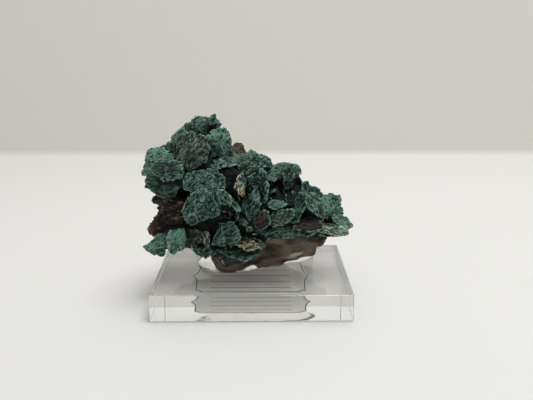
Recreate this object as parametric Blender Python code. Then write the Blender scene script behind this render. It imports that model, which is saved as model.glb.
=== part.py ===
"""Malachite blades on their brown rock, stuck with clear gel on a clear display block.

Metres, +Z up. The origin is the middle of the label's underside, on the surface that the block
stands on. X runs to the right and Y away from the viewer.
"""

import math
from collections import namedtuple

import bmesh
import bpy
import numpy as np
from mathutils import Matrix, Vector

MM = 0.001

# The display block and the label under it, in millimetres.
LABEL_WIDTH = 30.0
LABEL_DEPTH = 22.0
LABEL_THICKNESS = 0.2
LABEL_CORNER = 1.6
BLOCK_WIDTH = 50.0
BLOCK_DEPTH = 37.5
BLOCK_HEIGHT = 6.8
BLOCK_EDGE = 0.35
FLAT_GAP = 0.05
BLOCK_BOTTOM = LABEL_THICKNESS + FLAT_GAP
BLOCK_TOP = BLOCK_BOTTOM + BLOCK_HEIGHT

# Where the specimen was seen from: the eye in millimetres, then degrees and pixels.
EYE = np.array([2.1, -162.9, 69.7])
PITCH_DOWN = 15.0
TURN_RIGHT = 0.6
FOCAL = 640.0
CENTRE_U = 266.5
CENTRE_V = 200.0

# A blade of the front is placed by the pixel of its middle and that point's depth behind the
# block's centre line, one of the back by its place. The rest is its half length and half width,
# the slope of its long axis as seen from the front, the way it faces (turned to the right, tilted
# up) and how far its middle bulges towards that face. Lengths are in millimetres.
Seen = namedtuple("Seen", "name u v depth long wide slope turned tilted bulge")
Placed = namedtuple("Placed", "name x y z long wide slope turned tilted bulge")

FRONT_BLADES = (
    Seen("crown_peak", 203, 125, 1.0, 4.3, 3.3, 20, 10, 30, 0.6),
    Seen("crown_right", 221, 143, -1.5, 4.6, 3.3, 60, 20, 10, 0.5),
    Seen("crown_back", 205, 136, 2.0, 5.0, 4.0, -50, 10, 20, 0.6),
    Seen("crown_tip", 214, 118, 0.6, 1.5, 0.7, 60, 0, 20, 0.0),
    Seen("crown_left", 187, 129, 1.0, 2.4, 1.7, 50, -30, 15, 0.3),
    Seen("upper_left", 179, 138, -1.0, 3.3, 2.8, 60, -25, 20, 0.5),
    Seen("dark_face", 194, 152, -6.0, 5.0, 3.9, 60, 5, 15, 0.7),
    Seen("dark_shoulder", 183, 145, -4.0, 3.8, 2.8, 50, -15, 20, 0.5),
    Seen("left_bud", 169, 148, -2.0, 2.0, 1.4, 60, -20, 15, 0.2),
    Seen("left_upper", 157, 161, -3.5, 4.8, 3.5, 8, -20, 30, 0.6),
    Seen("left_rosette", 163, 179, -7.0, 5.6, 4.2, -8, -12, 5, 0.8),
    Seen("left_rosette_top", 167, 170, -8.0, 4.4, 2.6, -8, -5, 30, 0.5),
    Seen("left_rosette_foot", 166, 193, -6.5, 3.5, 2.4, 10, -5, -15, 0.5),
    Seen("centre_upper", 207, 183, -10.0, 5.6, 3.9, -6, 0, 28, 0.9),
    Seen("centre_lower", 198, 208, -12.0, 5.2, 4.1, 65, -5, 5, 0.8),
    Seen("centre_lower_right", 212, 203, -11.0, 3.6, 3.0, 40, 8, 8, 0.4),
    Seen("small_leaf", 223, 198, -12.5, 2.9, 1.7, -48, -15, 10, 0.3),
    Seen("sliver", 234, 203, -11.0, 2.6, 0.9, -58, 25, 10, 0.1),
    Seen("inner_left", 227, 180, -5.0, 4.2, 3.2, 20, 10, 10, 0.4),
    Seen("yellow_edge", 240, 186, -7.0, 3.4, 2.2, 66, 52, 10, 0.2),
    Seen("inner_striped", 250, 203, -8.0, 4.0, 2.7, 60, -30, 10, 0.5),
    Seen("inner_upright", 263, 193, -8.0, 3.0, 1.5, 84, -50, 5, 0.2),
    Seen("shelf_left", 219, 162, -2.0, 5.4, 3.6, 12, 0, 62, 0.5),
    Seen("shelf_right", 247, 160, -0.5, 5.8, 3.6, 3, 8, 58, 0.5),
    Seen("shelf_corner", 266, 161, -1.5, 2.3, 1.5, -48, 30, 20, 0.1),
    Seen("rough_face", 252, 171, -3.0, 4.4, 3.2, 20, 15, 5, 0.5),
    Seen("rough_face_low", 259, 182, -4.5, 3.4, 2.4, 70, 0, 5, 0.4),
    Seen("arch_top", 279, 169, -1.5, 5.0, 2.8, 14, 0, 55, 0.5),
    Seen("arch_curtain", 290, 176, -3.5, 3.6, 2.7, 75, 20, 5, 0.6),
    Seen("arch_corner", 297, 169, -2.5, 1.6, 1.0, -60, 20, 10, 0.1),
    Seen("cavity_lip", 285, 198, -4.5, 5.4, 2.6, 22, 0, 45, 0.4),
    Seen("small_shelf", 277, 204, -7.0, 3.1, 1.5, -12, 0, 45, 0.2),
    Seen("tent_left", 297, 208, -6.5, 4.9, 2.2, 60, -38, 20, 0.4),
    Seen("tent_right", 315, 204, -5.5, 4.8, 2.4, -48, 45, 35, 0.4),
    Seen("tent_back", 311, 212, -3.5, 4.2, 3.0, -30, 5, 10, 0.3),
    Seen("tent_spike", 305, 190, -4.5, 2.6, 1.5, 70, -10, 10, 0.2),
    Seen("ridge_back", 313, 200, 0.0, 4.4, 3.2, -40, 10, 20, 0.4),
    Seen("wing_upper", 331, 206, 0.5, 4.8, 3.6, -45, 20, 28, 0.6),
    Seen("wing_tip", 343, 220, -1.0, 3.8, 2.0, -32, 20, 45, 0.3),
    Seen("wing_ledge", 332, 227, -3.5, 5.6, 2.6, -8, 0, 66, 0.3),
    Seen("wing_under", 326, 228, -2.5, 5.6, 2.4, 2, 0, 60, 0.3),
    Seen("grey_plate", 309, 224, -7.0, 4.9, 2.0, -3, 0, 35, 0.3),
    Seen("green_apron", 294, 227, -5.5, 5.6, 2.6, 12, -5, 38, 0.5),
    Seen("green_apron_left", 278, 233, -6.0, 4.2, 2.2, 22, -8, 30, 0.3),
    Seen("brown_face", 261, 221, -9.0, 3.0, 2.1, 70, -25, 10, 0.3),
    Seen("brown_shelf", 279, 218, -8.5, 4.3, 2.0, 20, -10, 25, 0.3),
    Seen("round_front", 227, 235, -10.0, 3.4, 3.0, 30, 0, 10, 0.5),
    Seen("shadow_left", 221, 216, -7.5, 5.4, 3.0, 5, 0, -8, 0.4),
    Seen("shadow_right", 253, 218, -6.0, 5.2, 3.2, -5, 0, 0, 0.4),
    Seen("shadow_low", 209, 229, -6.5, 4.2, 3.2, 0, -10, 0, 0.4),
    Seen("shadow_centre", 252, 233, -6.0, 5.0, 3.0, 0, 0, 10, 0.4),
    Seen("square_stub", 205, 240, -7.5, 2.5, 1.6, 88, -30, 5, 0.1),
    Seen("stub_back", 190, 238, -6.0, 4.2, 2.6, 20, -10, 10, 0.2),
    Seen("paw_back", 165, 238, -6.5, 5.7, 2.6, 34, -8, 42, 0.5),
    Seen("paw_edge", 152, 248, -7.0, 2.6, 1.6, 8, -10, 15, 0.2),
    Seen("paw_front", 176, 241, -9.0, 3.8, 2.4, 62, 5, 10, 0.6),
    Seen("paw_toe", 160, 252, -7.8, 1.8, 1.2, 0, 0, 0, 0.2),
    Seen("base_left", 205, 249, -7.0, 3.8, 2.0, -12, 0, 48, 0.3),
    Seen("base_sheet", 242, 250, -6.6, 7.6, 2.8, 0, 0, 52, 0.5),
    Seen("base_crust", 249, 242, -7.5, 4.8, 2.2, -10, 0, 52, 0.3),
)

# A patch of blades that grow out of the back of the rock round one spot, in millimetres.
Patch = namedtuple("Patch", "name x y z count spread size")
BACK_PATCHES = (
    Patch("crown_behind", -14.0, 9.0, 41.0, 5, 4.5, 3.8),
    Patch("left_behind", -22.0, 6.0, 29.0, 3, 3.5, 3.4),
    Patch("ridge_behind", 3.0, 11.0, 34.0, 4, 4.0, 3.6),
    Patch("right_behind", 13.0, 8.0, 26.0, 4, 4.5, 3.4),
    Patch("far_right", 20.0, 4.0, 20.0, 3, 3.0, 3.2),
)
PATCH_PROUD = 1.2
PATCH_LEAN = 0.5
PATCH_SEED = 12

BIG_SIDES = 8
SMALL_SIDES = 6
SMALL_BLADE = 2.8
LEAST_THICKNESS = 1.0
LOBES = ((2, 0.08), (3, 0.10), (4, 0.05))
OUTLINE_POWER = 2.4
FIRST_SEED = 520

# A blade narrows behind to a root inside the rock, on the way to the nearest point of its spine.
SPINE_LEFT = np.array([-16.0, 4.0, 24.0])
SPINE_RIGHT = np.array([14.0, 4.0, 18.0])
ROOT_STEPS = 40
ROOT_SUNK = 0.8

# The matrix rock: an egg about its centre, whose surface is pulled to each named point in turn.
# A larger sharpness makes a narrower lump. Millimetres.
ROCK_CENTRE = np.array([-3.0, 4.0, 22.0])
ROCK_RADII = np.array([20.0, 8.5, 12.0])
Pull = namedtuple("Pull", "name x y z sharpness")
ROCK_PULLS = (
    Pull("under_left", -9.0, -1.5, 8.4, 12.0),
    Pull("under_right", 11.0, 6.5, 11.8, 14.0),
    Pull("back_boss", -8.0, 14.5, 27.0, 8.0),
    Pull("back_hollow", 8.0, 10.5, 22.0, 14.0),
    Pull("crown_core", -14.0, 4.5, 41.0, 25.0),
    Pull("top_knob", -5.0, 8.0, 38.8, 45.0),
    Pull("right_keel", 19.0, 1.0, 17.0, 40.0),
    Pull("keel_front", 12.0, -2.5, 14.5, 20.0),
    Pull("left_shoulder", -25.5, -1.5, 26.5, 60.0),
    Pull("left_foot", -27.0, -3.0, 19.5, 70.0),
    Pull("left_notch", -21.0, -2.3, 22.8, 400.0),
)
ROCK_FINENESS = 4
SKIN_FINENESS = 3
RIPPLES = ((0.45, 0.35), (0.35, 0.8), (0.2, 1.5))
ROCK_SEED = 7

# The facets of a skin are turned about this axis, so that their edges don't lie along the rock's.
FACET_AXIS = (0.3, 0.5, 0.8)
CRUST_TURN = 0.4
GEL_TURN = 0.9

# A skin over part of the rock is proud of it where it covers and sunk where it doesn't. It covers
# where the surface faces a way or lies near a spot, but not near a bare spot.
Skin = namedtuple("Skin", "faces start full proud spots bare")
SKIN_SUNK = -4.0
SPOT_SHARPNESS = 30.0
MALACHITE_SKIN = Skin(
    faces=np.array([0.05, -0.80, 0.60]),
    start=-0.45,
    full=0.12,
    proud=1.6,
    spots=tuple((patch.x, patch.y, patch.z) for patch in BACK_PATCHES),
    bare=((-25.5, -1.5, 26.5), (-26.0, -1.0, 22.0), (-5.0, 9.0, 38.0), (9.0, 0.0, 9.0), (18.0, 1.0, 14.0)),
)
GEL_SKIN = Skin(
    faces=np.array([0.25, -0.45, -0.86]),
    start=0.30,
    full=0.72,
    proud=1.7,
    spots=(),
    bare=((-24.0, -2.0, 17.0), (-3.0, -6.0, 16.5), (-11.0, -5.5, 16.0)),
)
FIT_GAP = 0.35
CRUMB_POINTS = 12

# Mounds of gel on the block: middle, half width, half depth and height, in millimetres.
Mound = namedtuple("Mound", "name x y half_wide half_deep height")
GEL_MOUNDS = (
    Mound("left", -6.3, 4.2, 8.9, 7.6, 4.4),
    Mound("middle", 4.0, 8.0, 6.0, 4.2, 4.6),
    Mound("right", 12.0, 8.6, 5.2, 4.6, 7.4),
)
MOUND_SIDES = 12
MOUND_RINGS = ((1.0, 0.0), (0.92, 0.4), (0.6, 0.86))


def seen(u, v, depth):
    """The point where the sight line through pixel (u, v) crosses the plane Y = depth."""
    pitch = math.radians(PITCH_DOWN)
    turn = math.radians(TURN_RIGHT)
    ahead = np.array([math.sin(turn) * math.cos(pitch), math.cos(turn) * math.cos(pitch), -math.sin(pitch)])
    right = np.array([math.cos(turn), -math.sin(turn), 0.0])
    up = np.cross(right, ahead)
    sight = FOCAL * ahead + (u - CENTRE_U) * right - (v - CENTRE_V) * up
    return EYE + sight * (depth - EYE[1]) / sight[1]


def blade_middle(blade):
    if isinstance(blade, Seen):
        return seen(blade.u, blade.v, blade.depth)
    return np.array([blade.x, blade.y, blade.z])


def blade_axes(blade):
    """The blade's long axis, cross axis and face normal."""
    turned = math.radians(blade.turned)
    tilted = math.radians(blade.tilted)
    slope = math.radians(blade.slope)
    face = np.array([math.sin(turned) * math.cos(tilted), -math.cos(turned) * math.cos(tilted), math.sin(tilted)])
    along = np.array([math.cos(slope), 0.0, math.sin(slope)])
    along = along - face * (along @ face)
    along /= np.linalg.norm(along)
    return along, np.cross(face, along), face


def unit(vector):
    return vector / np.linalg.norm(vector)


def rock_radius(directions):
    """Distance from the rock's centre to its surface in each direction, in millimetres."""
    radius = 1.0 / np.linalg.norm(directions / ROCK_RADII, axis=1)
    for pull in ROCK_PULLS:
        reach = np.array([pull.x, pull.y, pull.z]) - ROCK_CENTRE
        near = np.exp(pull.sharpness * (directions @ unit(reach) - 1.0))
        radius += (np.linalg.norm(reach) - radius) * near
    chance = np.random.default_rng(ROCK_SEED)
    for height, wave in RIPPLES:
        for axis in np.eye(3):
            heading = unit(axis + chance.normal(0.0, 0.4, 3))
            radius += height * np.sin(wave * (directions * radius[:, None]) @ heading + chance.uniform(0.0, 6.3))
    return radius


def skin_offset(skin, directions):
    """How far a skin stands proud of the rock in each direction."""
    cover = np.clip((directions @ unit(skin.faces) - skin.start) / (skin.full - skin.start), 0.0, 1.0)
    for spot in skin.spots:
        near = np.exp(SPOT_SHARPNESS * (directions @ unit(np.array(spot) - ROCK_CENTRE) - 1.0))
        cover = np.maximum(cover, np.clip(2.0 * near, 0.0, 1.0))
    for spot in skin.bare:
        near = np.exp(SPOT_SHARPNESS * (directions @ unit(np.array(spot) - ROCK_CENTRE) - 1.0))
        cover = np.minimum(cover, 1.0 - np.clip(2.0 * near, 0.0, 1.0))
    return SKIN_SUNK + (skin.proud - SKIN_SUNK) * cover


def patch_blades():
    """The blades of the back, set on the rock round each patch's spot and leaning outward."""
    chance = np.random.default_rng(PATCH_SEED)
    blades = []
    for patch in BACK_PATCHES:
        for number in range(patch.count):
            spot = np.array([patch.x, patch.y, patch.z]) + chance.normal(0.0, patch.spread / 2, 3)
            direction = unit(spot - ROCK_CENTRE)
            middle = ROCK_CENTRE + direction * (rock_radius(direction[None, :])[0] + PATCH_PROUD)
            face = unit(direction + chance.normal(0.0, PATCH_LEAN, 3))
            turned = math.degrees(math.atan2(face[0], -face[1]))
            tilted = math.degrees(math.asin(face[2]))
            size = patch.size * chance.uniform(0.8, 1.2)
            slope = chance.uniform(-80.0, 80.0)
            name = f"{patch.name}_{number + 1}"
            blades.append(Placed(name, *middle, size, size * 0.75, slope, turned, tilted, 0.4))
    return blades


def rim_reach(blade, angles, seed):
    """Distance from a blade's middle to its rim at each angle: a squarish oval with low lobes."""
    cosines = np.abs(np.cos(angles) / blade.long)
    sines = np.abs(np.sin(angles) / blade.wide)
    oval = (cosines**OUTLINE_POWER + sines**OUTLINE_POWER) ** (-1.0 / OUTLINE_POWER)
    phases = np.random.default_rng(FIRST_SEED + seed).uniform(0.0, 2.0 * math.pi, len(LOBES))
    for (count, height), phase in zip(LOBES, phases):
        oval = oval * (1.0 + height * np.sin(count * angles + phase))
    return oval


def add_points(mesh, points):
    return [mesh.verts.new(Vector(point) * MM) for point in points]


def blade_root(middle):
    """The outermost point inside the rock on the way from its spine to a blade's middle."""
    spine = SPINE_RIGHT - SPINE_LEFT
    share = np.clip((middle - SPINE_LEFT) @ spine / (spine @ spine), 0.0, 1.0)
    start = SPINE_LEFT + share * spine
    steps = start + np.linspace(0.0, 1.0, ROOT_STEPS)[:, None] * (middle - start)
    reach = steps - ROCK_CENTRE
    distance = np.linalg.norm(reach, axis=1)
    inside = distance < rock_radius(reach / distance[:, None]) - ROOT_SUNK
    return steps[np.flatnonzero(inside)[-1]]


def add_blade(mesh, blade, seed):
    """Adds a blade: its rim, a fan in front to a bulging middle and a fan back to its root."""
    along, across, face = blade_axes(blade)
    middle = blade_middle(blade)
    sides = SMALL_SIDES if blade.long < SMALL_BLADE else BIG_SIDES
    angles = np.arange(sides) * 2.0 * math.pi / sides
    reach = rim_reach(blade, angles, seed)
    flat = np.outer(reach * np.cos(angles), along) + np.outer(reach * np.sin(angles), across)
    rim = add_points(mesh, middle + flat - face * blade.bulge)
    root = blade_root(middle)
    least = middle - face * (blade.bulge + LEAST_THICKNESS)
    behind = root if (root - least) @ face < 0.0 else least
    front, back = add_points(mesh, [middle + face * LEAST_THICKNESS / 2, behind])
    for i in range(sides):
        j = (i + 1) % sides
        mesh.faces.new((rim[i], rim[j], front))
        mesh.faces.new((rim[j], rim[i], back))


def round_mesh(radius_of, fineness=ROCK_FINENESS, turn=0.0):
    """A closed surface about the rock's centre, whose distance is a function of direction."""
    mesh = bmesh.new()
    matrix = Matrix.Rotation(turn, 4, FACET_AXIS)
    bmesh.ops.create_icosphere(mesh, subdivisions=fineness, radius=1.0, matrix=matrix)
    directions = np.array([vert.co.normalized() for vert in mesh.verts])
    points = ROCK_CENTRE + directions * radius_of(directions)[:, None]
    for vert, point in zip(mesh.verts, points):
        vert.co = Vector(point) * MM
    return mesh


def add_mound(mesh, mound, grown):
    """Adds a low round mound of gel on the block, larger all round by a margin."""
    angles = np.arange(MOUND_SIDES) * 2.0 * math.pi / MOUND_SIDES
    floor = BLOCK_TOP + FLAT_GAP - grown
    rings = []
    for share, rise in MOUND_RINGS:
        x = mound.x + (mound.half_wide + grown) * share * np.cos(angles)
        y = mound.y + (mound.half_deep + grown) * share * np.sin(angles)
        z = np.full(MOUND_SIDES, floor + (mound.height + 2 * grown) * rise)
        rings.append(add_points(mesh, np.column_stack([x, y, z])))
    for low, high in zip(rings, rings[1:]):
        for i in range(MOUND_SIDES):
            j = (i + 1) % MOUND_SIDES
            mesh.faces.new((low[i], low[j], high[j], high[i]))
    top = add_points(mesh, [(mound.x, mound.y, floor + mound.height + 2 * grown)])[0]
    for i in range(MOUND_SIDES):
        mesh.faces.new((rings[-1][i], rings[-1][(i + 1) % MOUND_SIDES], top))
    mesh.faces.new(rings[0][::-1])


def add_object(name, mesh):
    """Puts a bmesh in the scene as an object and frees it."""
    data = bpy.data.meshes.new(name)
    bmesh.ops.recalc_face_normals(mesh, faces=mesh.faces)
    mesh.to_mesh(data)
    mesh.free()
    obj = bpy.data.objects.new(name, data)
    bpy.context.scene.collection.objects.link(obj)
    return obj


def cutter(name, mesh):
    obj = add_object(name, mesh)
    obj.hide_render = True
    obj.display_type = "WIRE"
    return obj


def cut(obj, cutter_object):
    """Joins the object's own overlapping shapes into one and takes the cutter's shape out of it."""
    modifier = obj.modifiers.new("cut", "BOOLEAN")
    modifier.operation = "DIFFERENCE"
    modifier.solver = "EXACT"
    modifier.object = cutter_object
    modifier.use_self = True


def pieces_of(mesh):
    """The mesh's vertices in groups, one for each connected piece, largest first."""
    left = set(mesh.verts)
    pieces = []
    while left:
        waiting = [left.pop()]
        piece = list(waiting)
        while waiting:
            vert = waiting.pop()
            near = {edge.other_vert(vert) for edge in vert.link_edges} & left
            left -= near
            waiting += near
            piece += near
        pieces.append(piece)
    return sorted(pieces, key=len, reverse=True)


def settle(obj):
    """Applies the object's Booleans and clears the crumbs that their cuts leave beside the piece."""
    graph = bpy.context.evaluated_depsgraph_get()
    data = bpy.data.meshes.new_from_object(obj.evaluated_get(graph))
    obj.modifiers.clear()
    mesh = bmesh.new()
    mesh.from_mesh(data)
    for crumb in pieces_of(mesh)[1:]:
        if len(crumb) > CRUMB_POINTS:
            raise ValueError(f"{obj.name} has a loose piece of {len(crumb)} points")
        bmesh.ops.delete(mesh, geom=crumb, context="VERTS")
    mesh.to_mesh(data)
    mesh.free()
    obj.data = data


def paint(obj, hex_colour, roughness, transmission=0.0, ior=1.5):
    material = bpy.data.materials.new(obj.name)
    material.use_nodes = True
    shader = material.node_tree.nodes["Principled BSDF"]
    values = [int(hex_colour[i : i + 2], 16) / 255 for i in (0, 2, 4)]
    linear = [value / 12.92 if value <= 0.04045 else ((value + 0.055) / 1.055) ** 2.4 for value in values]
    shader.inputs["Base Color"].default_value = (*linear, 1.0)
    shader.inputs["Roughness"].default_value = roughness
    shader.inputs["Metallic"].default_value = 0.0
    shader.inputs["Transmission Weight"].default_value = transmission
    shader.inputs["IOR"].default_value = ior
    obj.data.materials.append(material)


def display_block():
    """A clear slab with small polished bevels."""
    mesh = bmesh.new()
    bmesh.ops.create_cube(mesh, size=1.0)
    size = Vector((BLOCK_WIDTH, BLOCK_DEPTH, BLOCK_HEIGHT))
    for vert in mesh.verts:
        vert.co = (vert.co * size + Vector((0.0, 0.0, BLOCK_BOTTOM + BLOCK_HEIGHT / 2))) * MM
    bmesh.ops.bevel(mesh, geom=mesh.edges[:], offset=BLOCK_EDGE * MM, segments=1, affect="EDGES")
    block = add_object("display_block", mesh)
    paint(block, "F2F4F3", 0.03, 1.0, 1.49)
    return block


def label():
    """A thin sheet with cut corners, stuck under the block."""
    half_x = LABEL_WIDTH / 2
    half_y = LABEL_DEPTH / 2
    cut = LABEL_CORNER
    outline = []
    for sx, sy in ((1, 1), (-1, 1), (-1, -1), (1, -1)):
        ends = [(sx * half_x, sy * (half_y - cut)), (sx * (half_x - cut), sy * half_y)]
        outline += ends if sx * sy > 0 else ends[::-1]
    mesh = bmesh.new()
    bottom = add_points(mesh, [(x, y, 0.0) for x, y in outline])
    sheet = mesh.faces.new(bottom[::-1])
    lifted = bmesh.ops.extrude_face_region(mesh, geom=[sheet])["geom"]
    for vert in lifted:
        if isinstance(vert, bmesh.types.BMVert):
            vert.co.z = LABEL_THICKNESS * MM
    sheet_object = add_object("label", mesh)
    paint(sheet_object, "C9C3B6", 0.6)
    return sheet_object


def matrix_rock():
    rock = add_object("matrix_rock", round_mesh(rock_radius))
    paint(rock, "4A3226", 0.9)
    return rock


def gel_mesh(grown):
    """The gel: a skin under the rock and the mounds that it stands in, all larger by a margin."""
    mesh = round_mesh(lambda directions: rock_radius(directions) + skin_offset(GEL_SKIN, directions) + grown, SKIN_FINENESS, GEL_TURN)
    for mound in GEL_MOUNDS:
        add_mound(mesh, mound, grown)
    return mesh


def malachite_mesh():
    """The crust on the rock with every blade, still overlapping."""
    mesh = round_mesh(lambda directions: rock_radius(directions) + skin_offset(MALACHITE_SKIN, directions), SKIN_FINENESS, CRUST_TURN)
    for seed, blade in enumerate(list(FRONT_BLADES) + patch_blades()):
        add_blade(mesh, blade, seed)
    return mesh


def main():
    for obj in list(bpy.data.objects):
        bpy.data.objects.remove(obj)
    display_block()
    label()
    matrix_rock()
    rock_room = cutter("rock_room", round_mesh(lambda directions: rock_radius(directions) + FIT_GAP))
    gel_room = cutter("gel_room", gel_mesh(FIT_GAP))

    gel = add_object("gel_adhesive", gel_mesh(0.0))
    cut(gel, rock_room)
    settle(gel)
    paint(gel, "F4F0E8", 0.1, 1.0, 1.45)

    malachite = add_object("malachite", malachite_mesh())
    cut(malachite, rock_room)
    cut(malachite, gel_room)
    settle(malachite)
    paint(malachite, "2F5F50", 0.75)


main()
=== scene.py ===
"""The finished surfaces of the malachite specimen on its clear display block."""

import math
from collections import namedtuple

import bpy
import numpy as np
from mathutils import Matrix, Vector


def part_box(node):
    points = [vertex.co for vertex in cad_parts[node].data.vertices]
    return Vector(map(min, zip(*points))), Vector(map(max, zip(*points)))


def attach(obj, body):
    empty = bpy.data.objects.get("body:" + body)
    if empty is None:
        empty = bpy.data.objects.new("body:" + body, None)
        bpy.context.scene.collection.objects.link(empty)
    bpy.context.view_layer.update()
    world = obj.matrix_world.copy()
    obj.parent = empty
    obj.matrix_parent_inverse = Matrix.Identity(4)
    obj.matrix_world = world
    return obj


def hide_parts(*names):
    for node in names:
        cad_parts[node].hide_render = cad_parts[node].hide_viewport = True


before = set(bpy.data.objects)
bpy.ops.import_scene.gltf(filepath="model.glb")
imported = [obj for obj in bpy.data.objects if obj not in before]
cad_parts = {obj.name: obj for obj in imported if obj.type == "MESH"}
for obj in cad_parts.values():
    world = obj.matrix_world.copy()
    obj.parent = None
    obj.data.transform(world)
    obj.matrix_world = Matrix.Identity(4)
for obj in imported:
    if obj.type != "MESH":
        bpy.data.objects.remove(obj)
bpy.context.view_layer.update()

MM = 0.001

# The block and the label, in millimetres.
BLOCK_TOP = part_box("display_block")[1][2] / MM
BLOCK_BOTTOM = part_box("display_block")[0][2] / MM

# The camera's place and aim, in millimetres, degrees and pixels of the 533 by 400 frame.
EYE = np.array([2.1, -162.9, 69.7])
PITCH_DOWN = 15.0
TURN_RIGHT = 0.6
FOCAL = 640.0
CENTRE_U = 266.5
CENTRE_V = 200.0
FRAME_WIDTH = 533.0
SENSOR_WIDTH = 36.0

# A blade of the front is placed by the pixel of its middle and that point's depth behind the
# block's centre line, one of the back by its place. Then come its half length and half width, the
# slope of its long axis as seen from the front, the way it faces (turned to the right, tilted up)
# and how far its middle bulges towards that face, in millimetres and degrees. Last come its tone,
# from -1 for brown and -0.8 for smoky grey to 1 for bright green, its share of straw-coloured crust,
# and its grain: 0 for silky lines that fan out, 0.5 for worm-like wrinkles and 1 for small grains.
Seen = namedtuple("Seen", "name u v depth long wide slope turned tilted bulge tone crust grain")
Placed = namedtuple("Placed", "name x y z long wide slope turned tilted bulge tone crust grain")


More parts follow.
